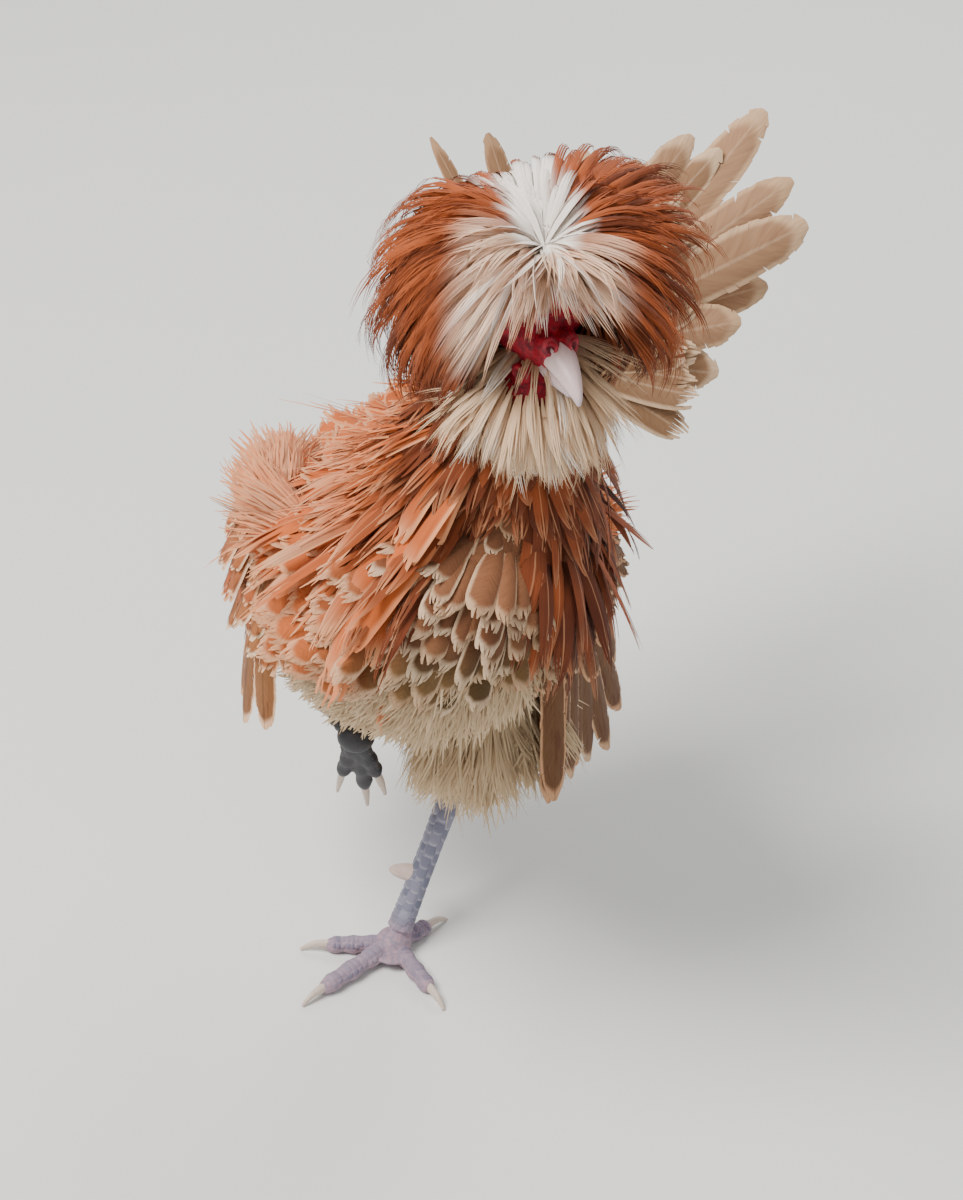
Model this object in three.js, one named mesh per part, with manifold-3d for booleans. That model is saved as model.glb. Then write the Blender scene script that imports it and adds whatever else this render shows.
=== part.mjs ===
// A life-size still model of a young bearded, buff-laced crested rooster in mid stride. It stands on
// its left leg, holds the right foot up and looks to its left. Its hackle is raised and its wings are
// let down. Millimetres, +Z up. The bird faces -Y, its left side is +X, and the origin is on the sole of the
// standing foot. Each part of the body is a smooth core given by a spine with oval rings round it.
import * as THREE from "three";
import { mergeVertices } from "three/addons/utils/BufferGeometryUtils.js";
import Module from "manifold-3d";

const wasm = await Module();
wasm.setup();

const rad = THREE.MathUtils.degToRad;
const vec = (x, y, z) => new THREE.Vector3(x, y, z);

// Driving dimensions
const GAP = 0.3; // clear space between neighbouring parts
const HEAD_CENTRE = vec(46, -76, 392);
const HEAD_YAW = rad(33); // the head's turn to its left
const HEAD_PITCH = rad(-9);
const BEAK_ROOT = 21; // from the head's centre to the root of the beak
const BEAK_LENGTH = 25;
const EYE_RADIUS = 4.6;
const FOOT_PAD = 8.5; // radius of the pad where the toes meet
const SHANK = 5.4; // half the width of the shank
const CLAW_LENGTH = 12;
const WORLD_UP = vec(0, 0, 1);
const WORLD_BACK = vec(0, 1, 0);
const UP_AND_BACK = vec(0, 1, 1).normalize();
const BLADE = 0.8; // thickness of a feather's blade
const SINK = 4.5; // how deep a feather's root runs into its core
const SHINGLE = rad(11); // how far each quill is rolled, so that it lies over its neighbour's edge
const MIN_ROLL = rad(6); // the least roll of a smaller feather
const RING_STEPS = 120; // steps round a ring where feathers are spaced
const PATH_STEPS = 8; // steps along a bent feather

// A spine with oval rings. Each ring is [x, y, z, half width, height on the upper side, on the lower
// side], and the hint is the direction that the upper side keeps to.
class Loft {
  constructor(rings, hint) {
    const centres = rings.map((r) => vec(r[0], r[1], r[2]));
    const sizes = rings.map((r) => vec(r[3], r[4], r[5]));
    this.spine = new THREE.CatmullRomCurve3(centres, false, "catmullrom");
    this.sizes = new THREE.CatmullRomCurve3(sizes, false, "catmullrom");
    this.hint = hint;
  }

  // The directions at t: along the spine, to the side, and up across it
  axes(t) {
    const step = 0.01;
    const before = this.spine.getPoint(Math.max(t - step, 0));
    const along = this.spine.getPoint(Math.min(t + step, 1)).sub(before).normalize();
    const side = along.clone().cross(this.hint).normalize();
    const up = side.clone().cross(along);
    return { along, side, up };
  }

  // The skin's point at t along the spine and at an angle round it, where 90 degrees is the upper side
  point(t, angle, grow = 0) {
    const { side, up } = this.axes(t);
    const size = this.sizes.getPoint(t);
    const height = Math.sin(angle) > 0 ? size.y : size.z;
    return this.spine
      .getPoint(t)
      .addScaledVector(side, (size.x + grow) * Math.cos(angle))
      .addScaledVector(up, (height + grow) * Math.sin(angle));
  }

  // Where a feather grows: the skin's point, its outward direction, and the lie of the coat
  seat(t, angle) {
    const step = 0.02;
    const at = this.point(t, angle);
    const behind = this.point(Math.max(t - step, 0), angle);
    const along = this.point(Math.min(t + step, 1), angle).sub(behind).normalize();
    const round = this.point(t, angle + step).sub(this.point(t, angle - step));
    const out = round.cross(along).normalize();
    if (out.dot(at.clone().sub(this.spine.getPoint(t))) < 0) out.negate();
    return { at, out, along };
  }

  // The closed skin: a cylinder whose points are moved onto the rings
  geometry(sides, rings, grow = 0) {
    const form = new THREE.CylinderGeometry(1, 1, 1, sides, rings);
    const spots = form.getAttribute("position");
    for (let i = 0; i < spots.count; i++) {
      const t = THREE.MathUtils.clamp(0.5 - spots.getY(i), 0, 1);
      const onRim = Math.hypot(spots.getX(i), spots.getZ(i)) > 0.5;
      const angle = Math.atan2(spots.getZ(i), spots.getX(i));
      const spot = onRim ? this.point(t, angle, grow) : this.spine.getPoint(t);
      if (t === 0) spot.addScaledVector(this.axes(0).along, -grow);
      if (t === 1) spot.addScaledVector(this.axes(1).along, grow);
      spots.setXYZ(i, spot.x, spot.y, spot.z);
    }
    return form;
  }
}

// A closed geometry as a solid, turned so that its faces point outwards
function solid(geometry) {
  const bare = new THREE.BufferGeometry();
  bare.setAttribute("position", geometry.getAttribute("position"));
  if (geometry.index) bare.setIndex(geometry.index);
  const merged = mergeVertices(bare, 1e-4);
  const vertProperties = new Float32Array(merged.getAttribute("position").array);
  const triVerts = new Uint32Array(merged.index.array);
  const corner = (i) => new THREE.Vector3().fromArray(vertProperties, 3 * triVerts[i]);
  let volume = 0;
  for (let i = 0; i < triVerts.length; i += 3) {
    volume += corner(i).dot(corner(i + 1).cross(corner(i + 2)));
  }
  if (volume < 0) triVerts.reverse();
  return new wasm.Manifold(new wasm.Mesh({ numProp: 3, vertProperties, triVerts }));
}

const fuse = (geometries) => wasm.Manifold.union(geometries.map(solid));

// The largest closed piece of what is left of a form once the others are cut from it
function cut(form, others) {
  const left = others.reduce((rest, other) => rest.subtract(other), form);
  return left.decompose().reduce((best, piece) => (piece.volume() > best.volume() ? piece : best));
}

function geometryOf(form) {
  const { vertProperties, triVerts } = form.getMesh();
  const geometry = new THREE.BufferGeometry();
  geometry.setAttribute("position", new THREE.BufferAttribute(vertProperties, 3));
  geometry.setIndex(new THREE.BufferAttribute(triVerts, 1));
  return geometry;
}

// An oval ball, turned by a matrix
function ball(centre, size, turn, grow = 0, sides = 14) {
  const form = new THREE.SphereGeometry(1, sides, Math.round(sides * 0.7));
  form.scale(size.x + grow, size.y + grow, size.z + grow);
  form.applyMatrix4(turn);
  return form.translate(centre.x, centre.y, centre.z);
}

// A feather's width from its root to its tip, as [share of its length, share of its width]
const OUTLINES = {
  narrow: [[0, 0.2], [0.42, 1], [0.76, 0.68], [1, 0.14]],
  round: [[0, 0.2], [0.62, 1], [1, 0.36]],
  quill: [[0, 0.2], [0.4, 1], [0.88, 0.86], [1, 0.3]],
};

// A feather's blade. lift turns it off the skin at its root, bend turns it back over its length and sway
// turns it sideways; both faces are split into the same triangles.
function blade({ at, out, along }, { length, width, lift, bend, sway, roll, outline }, grow) {
  const forth = along.clone().multiplyScalar(Math.cos(lift)).addScaledVector(out, Math.sin(lift));
  const face = out.clone().addScaledVector(forth, -out.dot(forth)).normalize();
  const aside = face.clone().cross(forth);
  const step = (length + SINK) / PATH_STEPS;
  const path = [at.clone().addScaledVector(forth, -SINK).addScaledVector(out, -1)];
  for (let i = 0; i < PATH_STEPS; i++) {
    const turn = (bend * (i + 0.5)) / PATH_STEPS;
    const drift = (sway * (i + 0.5)) / PATH_STEPS;
    const way = forth.clone().multiplyScalar(Math.cos(turn) * Math.cos(drift));
    way.addScaledVector(face, -Math.sin(turn)).addScaledVector(aside, Math.sin(drift)).normalize();
    path.push(path[i].clone().addScaledVector(way, step));
  }
  const shaft = new THREE.CatmullRomCurve3(path);
  const stops = OUTLINES[outline];
  const half = BLADE / 2 + grow;
  const points = stops.flatMap(([share, wide], i) => {
    const ahead = shaft.getTangent(share);
    const across = face.clone().cross(ahead).normalize().applyAxisAngle(ahead, roll);
    const normal = ahead.clone().cross(across);
    const end = i === 0 ? -grow : i === stops.length - 1 ? grow : 0;
    const centre = shaft.getPoint(share).addScaledVector(ahead, end);
    const reach = (wide * width) / 2 + grow;
    const corner = (x, z) => centre.clone().addScaledVector(across, x).addScaledVector(normal, z);
    return [corner(-reach, half), corner(reach, half), corner(reach, -half), corner(-reach, -half)];
  });
  const index = [0, 3, 1, 1, 3, 2];
  for (let i = 0; i < stops.length - 1; i++)
    for (let j = 0; j < 4; j++) {
      const a = 4 * i + j;
      const b = 4 * i + ((j + 1) % 4);
      if (j < 2) index.push(a, b, a + 4, b, b + 4, a + 4);
      else index.push(a, b, b + 4, a, b + 4, a + 4);
    }
  const last = 4 * (stops.length - 1);
  index.push(last, last + 1, last + 3, last + 1, last + 2, last + 3);
  const geometry = new THREE.BufferGeometry().setFromPoints(points);
  geometry.setIndex(index);
  return geometry;
}

// A seeded random source, so that every build grows the same feathers
function randomSource(seed) {
  let state = seed;
  return () => {
    state = (state * 1664525 + 1013904223) % 4294967296;
    return state / 4294967296;
  };
}

// Angles at even distances round a core, between two angles in degrees, and the distance between them
function evenly(core, { t, count, from, to }, stagger) {
  const gaps = to - from === 360 ? count : count - 1;
  const step = (to - from) / RING_STEPS;
  const angles = Array.from({ length: RING_STEPS + 1 }, (_, i) => rad(from + step * i));
  const spots = angles.map((angle) => core.point(t, angle));
  const walked = spots.map(() => 0);
  for (let i = 1; i < spots.length; i++) walked[i] = walked[i - 1] + spots[i].distanceTo(spots[i - 1]);
  const pitch = walked.at(-1) / gaps;
  const angleAt = (distance) => {
    const wanted = THREE.MathUtils.clamp(distance, 0, walked.at(-1));
    return angles[walked.findIndex((length) => length >= wanted)];
  };
  const start = gaps === count ? pitch * stagger : 0;
  return { pitch, angles: Array.from({ length: count }, (_, j) => angleAt(start + pitch * j)) };
}

// Rows of feathers round a core. A row is { t, count, from, to, length, width, lift, bend } with its
// angles in degrees, and shape(angle) may change length, width, lift or bend round the body by a factor.
// Each feather is rolled just enough to lie over its neighbour's edge.
function coat(core, rows, outline, seed, shape = () => ({})) {
  const random = randomSource(seed);
  const vary = (share) => 1 + share * (2 * random() - 1);
  return rows.flatMap((row, i) => {
    const { pitch, angles } = evenly(core, row, (i % 2) / 2);
    const girth = core.sizes.getPoint(row.t);
    const overlap = Math.max(row.width - pitch, 0) / (girth.x + girth.z);
    const roll = Math.max(1.4 * (overlap + (BLADE + GAP) / pitch), MIN_ROLL);
    return angles.map((angle) => {
      const factor = { length: 1, width: 1, lift: 1, bend: 1, ...shape(angle) };
      return {
        seat: core.seat(row.t, angle),
        shape: {
          length: row.length * factor.length * vary(0.08),
          width: row.width * factor.width * vary(0.06),
          lift: rad(row.lift * factor.lift * vary(0.04)),
          bend: rad(row.bend * factor.bend * vary(0.1)),
          sway: rad(6) * (random() - 0.5),
          roll,
          outline,
        },
      };
    });
  });
}

const bird = new THREE.Group();
const parts = new Map();

// Adds a part's smooth body, which build(grow) makes, cut clear of the bodies added before it
function add(name, build, color, roughness) {
  const whole = build(0);
  const others = [...parts.values()].map((part) => part.grown).filter((other) => meet(whole, other));
  const form = cut(whole, others);
  parts.set(name, { form, grown: build(GAP), blades: [], color, roughness });
}

function meet(one, other) {
  const a = one.boundingBox();
  const b = other.boundingBox();
  const apart = [0, 1, 2].some((axis) => a.min[axis] > b.max[axis] || b.min[axis] > a.max[axis]);
  return !apart && !one.intersect(other).isEmpty();
}

// Turns and shares of its length that a feather tries, until it is clear of all that is there already
const LIFTS = [0, 4, -4, 8, -8, 12, 17, 23, 30];
const LENGTHS = [1, 0.78, 0.6];

// Grows feathers on a part one by one. Each is bent clear of the other bodies and of the feathers before
// it, or shortened, and left out where there is no room for it.
function feather(name, feathers) {
  const own = parts.get(name);
  const others = [...parts.values()].filter((part) => part !== own);
  const inTheWay = [...others.flatMap((part) => [part.form, ...part.blades]), ...own.blades];
  for (const { seat, shape } of feathers) {
    const trials = LENGTHS.flatMap((share) => LIFTS.map((turn) => ({ share, turn })));
    for (const { share, turn } of trials) {
      const trial = { ...shape, lift: shape.lift + rad(turn), length: shape.length * share };
      const room = solid(blade(seat, trial, GAP)).subtract(own.form);
      if (inTheWay.some((form) => meet(room, form))) continue;
      const grown = solid(blade(seat, trial, 0));
      own.blades.push(grown);
      inTheWay.push(grown);
      break;
    }
  }
}

const COLOURS = {
  copper: 0x9a4f28,
  orange: 0xc9733f,
  buff: 0xb98a5e,
  cream: 0xd9c3a0,
  brown: 0x8a6a45,
  crimson: 0x9c1830,
  horn: 0xe3cbc6,
  slate: 0x75757f,
  pink: 0xb08c90,
  claw: 0xd8cdb8,
  eye: 0x3a1a0c,
};

// The head's own directions, and a point given in them
const forward = vec(
  Math.sin(HEAD_YAW) * Math.cos(HEAD_PITCH),
  -Math.cos(HEAD_YAW) * Math.cos(HEAD_PITCH),
  Math.sin(HEAD_PITCH),
);
const left = vec(Math.cos(HEAD_YAW), Math.sin(HEAD_YAW), 0);
const up = forward.clone().cross(left);
const headTurn = new THREE.Matrix4().makeBasis(left, forward, up);
const inHead = (side, ahead, above) => {
  const spot = HEAD_CENTRE.clone().addScaledVector(left, side);
  return spot.addScaledVector(forward, ahead).addScaledVector(up, above);
};
const headRing = (ahead, above, width, high, low) => [...inHead(0, ahead, above), width, high, low];
const mirrored = { left: 1, right: -1 };

// Eyes, set into the sides of the skull
const MOUTH_CORNER = 9; // how far the mouth runs back into the face on each side
const MOUTH_SLIT = 1; // how far the mouth is open there
const EYE_SIDE = 14.2;
for (const [name, side] of Object.entries(mirrored)) {
  const size = vec(EYE_RADIUS, EYE_RADIUS, EYE_RADIUS);
  const eye = (grow) => solid(ball(inHead(side * EYE_SIDE, 3, 3), size, headTurn, grow, 10));
  add(`eye_${name}`, eye, COLOURS.eye, 0.15);
}

const skull = new Loft(
  [
    headRing(-19, -6, 7, 7, 7),
    headRing(-12, -2, 14, 15, 15),
    headRing(0, 0, 16.5, 16.5, 16),
    headRing(10, -1, 13.5, 13, 13),
    headRing(18, -3, 9.5, 9.5, 9),
    headRing(BEAK_ROOT + 2, -4, 6, 6, 5.5),
  ],
  WORLD_UP,
);
// The skull with its lids, which stand out round each open eye, and the corners of the mouth
const LID = 1.1; // thickness of the eyelids
const LID_OPENING = 3.7; // half the length of the open eye
const headForm = (grow) => {
  const lidSize = vec(EYE_RADIUS + LID, EYE_RADIUS + LID, EYE_RADIUS + LID);
  const sides = Object.values(mirrored);
  const lids = sides.map((side) => ball(inHead(side * EYE_SIDE, 3, 3), lidSize, headTurn, grow, 9));
  const openings = sides.map((side) => {
    const opening = vec(8, LID_OPENING - grow, LID_OPENING * 0.82 - grow);
    return solid(ball(inHead(side * (EYE_SIDE + 8), 3, 3), opening, headTurn, 0, 9));
  });
  const corners = sides.map((side) => {
    const slit = new THREE.BoxGeometry(8, MOUTH_CORNER, MOUTH_SLIT - 2 * grow).applyMatrix4(headTurn);
    const at = inHead(side * 11.5, BEAK_ROOT - MOUTH_CORNER / 2 - 2, -7);
    return solid(slit.translate(at.x, at.y, at.z));
  });
  const whole = fuse([skull.geometry(13, 8, grow), ...lids]);
  return [...openings, ...corners].reduce((rest, hole) => rest.subtract(hole), whole);
};
add("head", headForm, COLOURS.crimson, 0.6);

// The beak: the upper half hooks over the lower one
const upperBeak = new Loft(
  [
    headRing(BEAK_ROOT - 4, -1, 7, 6, 4),
    headRing(BEAK_ROOT + 6, -1, 6.4, 6, 3.5),
    headRing(BEAK_ROOT + 15, -2.4, 4.4, 4.4, 2.2),
    headRing(BEAK_ROOT + 22, -5, 2.2, 2.6, 1.6),
    headRing(BEAK_ROOT + BEAK_LENGTH, -7.5, 0.7, 0.8, 0.8),
  ],
  WORLD_UP,
);
const lowerBeak = new Loft(
  [
    headRing(BEAK_ROOT - 4, -8, 5, 4, 3),
    headRing(BEAK_ROOT + 6, -8, 4.6, 4, 3),
    headRing(BEAK_ROOT + 13, -7.6, 3, 3, 2.4),
    headRing(BEAK_ROOT + 18, -8.2, 1.2, 1, 1),
  ],
  WORLD_UP,
);
// The nostrils stand up in two bulbs over the root of the beak, each with a hole that looks forwards
const NOSTRIL = vec(3.4, 4.6, 3.8);
const NOSTRIL_HOLE = vec(1.3, 3.2, 1.6);
const beakForm = (grow) => {
  const sides = Object.values(mirrored);
  const bulbs = sides.map((side) => {
    const at = inHead(side * 4.2, BEAK_ROOT + 2, 3.6);
    return ball(at, NOSTRIL, headTurn, grow, 9);
  });
  const holes = sides.map((side) => {
    const at = inHead(side * 5, BEAK_ROOT + 6, 4.2);
    return solid(ball(at, NOSTRIL_HOLE, headTurn, 0, 7));
  });
  const whole = fuse([upperBeak.geometry(8, 6, grow), ...bulbs]);
  return holes.reduce((rest, hole) => rest.subtract(hole), whole);
};
add("beak_upper", beakForm, COLOURS.horn, 0.4);
add("beak_lower", (grow) => solid(lowerBeak.geometry(8, 5, grow)), COLOURS.horn, 0.4);

// The comb: two short fleshy horns over the beak
const combHorn = (side, grow) =>
  new Loft(
    [
      [...inHead(side * 2.5, 14, 4), 3.4, 3.4, 3.4],
      [...inHead(side * 4, 14, 11), 2.6, 2.6, 2.6],
      [...inHead(side * 5.5, 12, 16), 1.2, 1.2, 1.2],
    ],
    WORLD_BACK,
  ).geometry(7, 3, grow);
add("comb", (grow) => fuse([combHorn(1, grow), combHorn(-1, grow)]), COLOURS.crimson, 0.6);

// Small round wattles below the corners of the mouth
const WATTLE = vec(3.4, 4.5, 5);
for (const [name, side] of Object.entries(mirrored)) {
  const at = inHead(side * 7.5, BEAK_ROOT - 4, -12);
  const wattle = (grow) => solid(ball(at, WATTLE, headTurn, grow, 10));
  add(`wattle_${name}`, wattle, COLOURS.crimson, 0.6);
}

// The legs: each shank runs from the hock, inside the thigh's feathers, to the pad where the toes meet.
// Each toe is [end of its flesh, radius].
const legs = {
  left: {
    thigh: [
      [34, -6, 186, 26, 26, 28],
      [33, -2, 160, 28, 27, 29],
      [29, 9, 132, 20, 20, 22],
      [24, 24, 107, 13, 13, 14],
      [21, 36, 88, 8, 8, 8],
    ],
    fluff: [[0.84, 6, 27], [0.64, 7, 32], [0.44, 7, 36], [0.27, 7, 36]],
    hock: vec(21, 37, 84),
    ankle: vec(2, 4, 12),
    pad: vec(0, 0, FOOT_PAD * 0.8 - 0.4),
    toes: {
      inner: [vec(-31, -6, 4.2), 4.3],
      middle: [vec(-27, -36, 4.2), 4.6],
      outer: [vec(22, -25, 4.2), 4.3],
      hind: [vec(14, 18, 4.2), 4.3],
    },
    grounded: true,
    medial: -1,
  },
  right: {
    thigh: [
      [0, -26, 186, 24, 20, 22],
      [-5, 0, 170, 23, 20, 21],
      [-10, 28, 153, 17, 16, 16],
      [-12, 50, 140, 10, 10, 10],
      [-12, 64, 131, 7, 7, 7],
    ],
    fluff: [[0.86, 5, 20], [0.64, 6, 26], [0.4, 6, 30]],
    hock: vec(-12, 68, 129),
    ankle: vec(-20, 0, 135),
    pad: vec(-21, -9, 133),
    toes: {
      inner: [vec(-12, 0, 106), 3.8],
      middle: [vec(-18, 5, 94), 4],
      outer: [vec(-28, 1, 103), 3.8],
      hind: [vec(-34, 3, 133), 3.8],
    },
    grounded: false,
    medial: 1,
  },
};
const LEG_HINT = vec(0.2, 0.1, 1).normalize();
const SPUR_PLACE = 0.65; // the spur's place down the shank
const SPUR_LENGTH = 15; // from the middle of the shank
const CLAW_TIP = 0.8;
const CLAW_HOOK = 3; // how far a claw that hangs free curves down
const FLAT = 0.3; // how much of each pad and claw is cut off level with the ground
const groundBelow = (grow) => solid(new THREE.BoxGeometry(200, 200, 20).translate(0, 0, -10 - grow));
// A toe's rings, as [share of its length, share of its radius, height of its underside off the ground]
const KNUCKLES = [[0, 1.15, 0.6], [0.32, 0.95, 0.9], [0.6, 1.1, -FLAT], [0.88, 1, -FLAT], [1, 0.6, 1]];

for (const [side, leg] of Object.entries(legs)) {
  const shankRings = [leg.hock, leg.ankle].map((spot) => [...spot, SHANK, SHANK * 1.15, SHANK * 1.15]);
  const shank = new Loft(shankRings, UP_AND_BACK);
  add(`shank_${side}`, (grow) => solid(shank.geometry(10, 3, grow)), COLOURS.slate, 0.6);

  const spurRings = [[0, 4.6], [0.55, 3.9], [0.85, 2.6], [1, 0.9]].map(([share, size]) => {
    const spot = leg.hock.clone().lerp(leg.ankle, SPUR_PLACE);
    return [...spot.add(vec(leg.medial * SPUR_LENGTH * share, 1.5 * share, -share)), size, size, size];
  });
  const spur = new Loft(spurRings, UP_AND_BACK);
  add(`spur_${side}`, (grow) => solid(spur.geometry(8, 3, grow)), COLOURS.claw, 0.5);

  const toeLofts = [];
  for (const [toe, [end, radius]] of Object.entries(leg.toes)) {
    const out = end.clone().sub(leg.pad).normalize();
    const reach = (length, height) => {
      const spot = end.clone().addScaledVector(out, length);
      if (leg.grounded) spot.z = height;
      else spot.z -= CLAW_HOOK * (length / CLAW_LENGTH) ** 2;
      return spot;
    };
    const claw = new Loft(
      [
        [...reach(-5, radius), radius * 0.5, radius * 0.5, radius * 0.5],
        [...reach(CLAW_LENGTH * 0.45, 4), 1.6, 1.9, 1.9],
        [...reach(CLAW_LENGTH, CLAW_TIP - FLAT), CLAW_TIP, CLAW_TIP, CLAW_TIP],
      ],
      LEG_HINT,
    );
    const clawForm = (grow) => solid(claw.geometry(6, 3, grow)).subtract(groundBelow(grow));
    add(`claw_${side}_${toe}`, clawForm, COLOURS.claw, 0.4);
    const toeRings = KNUCKLES.map(([share, swell, underside]) => {
      const size = radius * swell;
      const spot = leg.pad.clone().lerp(end, share);
      if (leg.grounded) spot.z = size + underside;
      return [...spot, size, size, size];
    });
    toeLofts.push(new Loft(toeRings, LEG_HINT));
  }
  const padSize = vec(FOOT_PAD, FOOT_PAD, FOOT_PAD * 0.8);
  const foot = (grow) => {
    const toes = toeLofts.map((toe) => toe.geometry(7, 5, grow));
    const whole = fuse([...toes, ball(leg.pad, padSize, new THREE.Matrix4(), grow, 9)]);
    return whole.subtract(groundBelow(grow));
  };
  add(`foot_${side}`, foot, COLOURS.pink, 0.6);
}

// The trunk, from the base of the neck to the root of the tail. Its feathers lie back over the breast,
// the flanks and the rump, and are left out under the thighs and wings.
const torso = new Loft(
  [
    [42, -60, 300, 20, 16, 20],
    [31, -62, 272, 38, 32, 34],
    [12, -46, 240, 53, 48, 50],
    [-4, -12, 214, 58, 56, 58],
    [-6, 28, 206, 56, 54, 56],
    [4, 68, 216, 46, 42, 44],
    [19, 101, 234, 29, 26, 28],
    [31, 124, 248, 13, 13, 13],
  ],
  UP_AND_BACK,
);
add("torso", (grow) => solid(torso.geometry(14, 10, grow)), COLOURS.buff, 0.9);

for (const [side, leg] of Object.entries(legs)) {
  const thigh = new Loft(leg.thigh, UP_AND_BACK);
  add(`thigh_${side}`, (grow) => solid(thigh.geometry(11, 6, grow)), COLOURS.cream, 0.95);
}

// The wings: a flat pad along each flank that carries the long quills and the coverts over their roots.
// The right one hangs a little outwards, the left one is held close.
const wings = {
  left: {
    pad: [
      [48, -54, 262, 5, 9, 9],
      [55, -36, 254, 9, 18, 18],
      [60, -4, 242, 11, 24, 26],
      [63, 28, 226, 10, 22, 26],
      [63, 52, 212, 7, 13, 16],
      [62, 64, 204, 3, 5, 6],
    ],
    outer: 0,
    turn: -1,
    spread: 0.05,
    fluff: 0.6,
    reach: 1,
  },
  right: {
    pad: [
      [-28, -54, 262, 5, 9, 9],
      [-48, -36, 254, 9, 18, 18],
      [-60, -4, 242, 11, 24, 26],
      [-63, 28, 226, 10, 22, 26],
      [-62, 52, 212, 7, 13, 16],
      [-60, 64, 204, 3, 5, 6],
    ],
    outer: 180,
    turn: 1,
    spread: 0.06,
    fluff: 0.7,
    reach: 0.88,
  },
};
for (const [side, wing] of Object.entries(wings)) {
  const pad = new Loft(wing.pad, WORLD_UP);
  add(`wing_${side}`, (grow) => solid(pad.geometry(10, 6, grow)), COLOURS.brown, 0.9);
}

// 1 in the middle and falling off to both sides
const bell = (value, middle, width) => Math.exp(-(((value - middle) / width) ** 2));

// How far a direction round the neck or the head is to the bird's right and to the front, from -1 to 1
const rightness = (angle) => -Math.cos(angle);
const frontness = (angle) => -Math.sin(angle);

// The beard and muffs below the face
const bib = new Loft(
  [
    [...inHead(0, 3, -11), 19, 12, 10],
    [52, -88, 367, 24, 16, 14],
    [51, -86, 354, 20, 15, 13],
    [50, -82, 342, 11, 9, 8],
  ],
  WORLD_BACK,
);
add("beard", (grow) => solid(bib.geometry(11, 4, grow)), COLOURS.cream, 0.95);

// The neck, which carries the hackle
const neck = new Loft(
  [
    [46, -73, 384, 13, 13, 12],
    [46, -70, 362, 17, 18, 17],
    [45, -64, 338, 21, 23, 20],
    [42, -58, 312, 26, 28, 25],
    [38, -54, 288, 30, 32, 30],
    [34, -50, 268, 24, 24, 24],
  ],
  WORLD_BACK,
);
add("neck", (grow) => solid(neck.geometry(11, 7, grow)), COLOURS.orange, 0.9);

// The crest, a wide mop that falls from a whorl over the forehead
const crown = new Loft(
  [
    [50, -85, 428, 9, 9, 7],
    [49, -82, 418, 22, 26, 18],
    [48, -76, 405, 28, 34, 21],
    [47, -72, 391, 25, 30, 15],
    [47, -72, 378, 18, 20, 10],
  ],
  WORLD_BACK,
);
add("crest", (grow) => solid(crown.geometry(10, 5, grow)), COLOURS.copper, 0.9);

// The tail's root plate
const tailRoot = new Loft(
  [
    [24, 108, 238, 12, 12, 12],
    [31, 124, 249, 13, 15, 15],
    [38, 136, 260, 13, 14, 16],
  ],
  WORLD_UP,
);
add("tail", (grow) => solid(tailRoot.geometry(10, 3, grow)), COLOURS.brown, 0.9);

// The wings' quills and the coverts over their roots. A feather that starts at a share of the pad's
// length hangs down, and further back the nearer it is to the wing's end.
for (const [side, wing] of Object.entries(wings)) {
  const pad = new Loft(wing.pad, WORLD_UP);
  const random = randomSource(31);
  const hanging = (share, below, length, width, lift, outline) => {
    const t = THREE.MathUtils.lerp(0.3, 0.93, share);
    const { at, out } = pad.seat(t, rad(wing.outer + wing.turn * below));
    const back = THREE.MathUtils.lerp(-0.1, 0.8, share);
    const along = vec(-wing.turn * wing.spread, back, -1).normalize();
    const square = out.addScaledVector(along, -out.dot(along)).normalize();
    const shape = {
      length: length * (1 + 0.06 * (random() - 0.5)),
      width,
      lift: rad(lift * wing.fluff),
      bend: rad(10),
      sway: rad(4) * (random() - 0.5),
      roll: -wing.turn * SHINGLE,
      outline,
    };
    return { seat: { at, out: square, along }, shape };
  };
  const tier = (count, reach, below, length, width, lift, outline) =>
    Array.from({ length: count }, (_, i) => {
      const share = (reach * i) / (count - 1);
      return hanging(share, below, length(share), width, lift, outline);
    });
  const quillReach = (share) => wing.reach * (72 + 46 * Math.sin(rad(30 + 105 * share)));
  feather(`wing_${side}`, [
    ...tier(8, 1, 60, quillReach, 26, 3, "quill"),
    ...tier(5, 0.82, 34, () => 50, 27, 16, "round"),
    ...tier(5, 0.86, 6, () => 44, 27, 25, "round"),
    ...tier(4, 0.8, -24, () => 40, 27, 34, "round"),
  ]);
}

// The tail: a fan of long quills, swung to the bird's left, and coverts in front of them
const FAN_CENTRE = vec(36, 133, 257);
const fanUp = vec(0.1, 0.45, 0.88).normalize();
const fanFace = vec(0.95, 0.3, -0.1).cross(fanUp).normalize();
const fanSide = fanUp.clone().cross(fanFace);
const FAN_LAYER = 1.3; // how far each feather of the fan lies in front of the one before it
// Feathers spread over the fan between two angles from its middle, in front of it by ahead
function fanOf(count, from, to, ahead, reach, width, outline) {
  const random = randomSource(71);
  return Array.from({ length: count }, (_, i) => {
    const angle = rad(THREE.MathUtils.lerp(from, to, i / (count - 1)));
    const along = fanUp.clone().multiplyScalar(Math.cos(angle));
    along.addScaledVector(fanSide, Math.sin(angle));
    const layer = ahead + (i - (count - 1) / 2) * FAN_LAYER;
    const at = FAN_CENTRE.clone().addScaledVector(fanFace, layer).addScaledVector(along, 6);
    const length = reach(angle) * (1 + 0.06 * (random() - 0.5));
    const shape = { length, width, lift: rad(3), bend: rad(12), sway: 0, roll: SHINGLE, outline };
    return { seat: { at, out: fanFace, along }, shape };
  });
}
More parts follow.
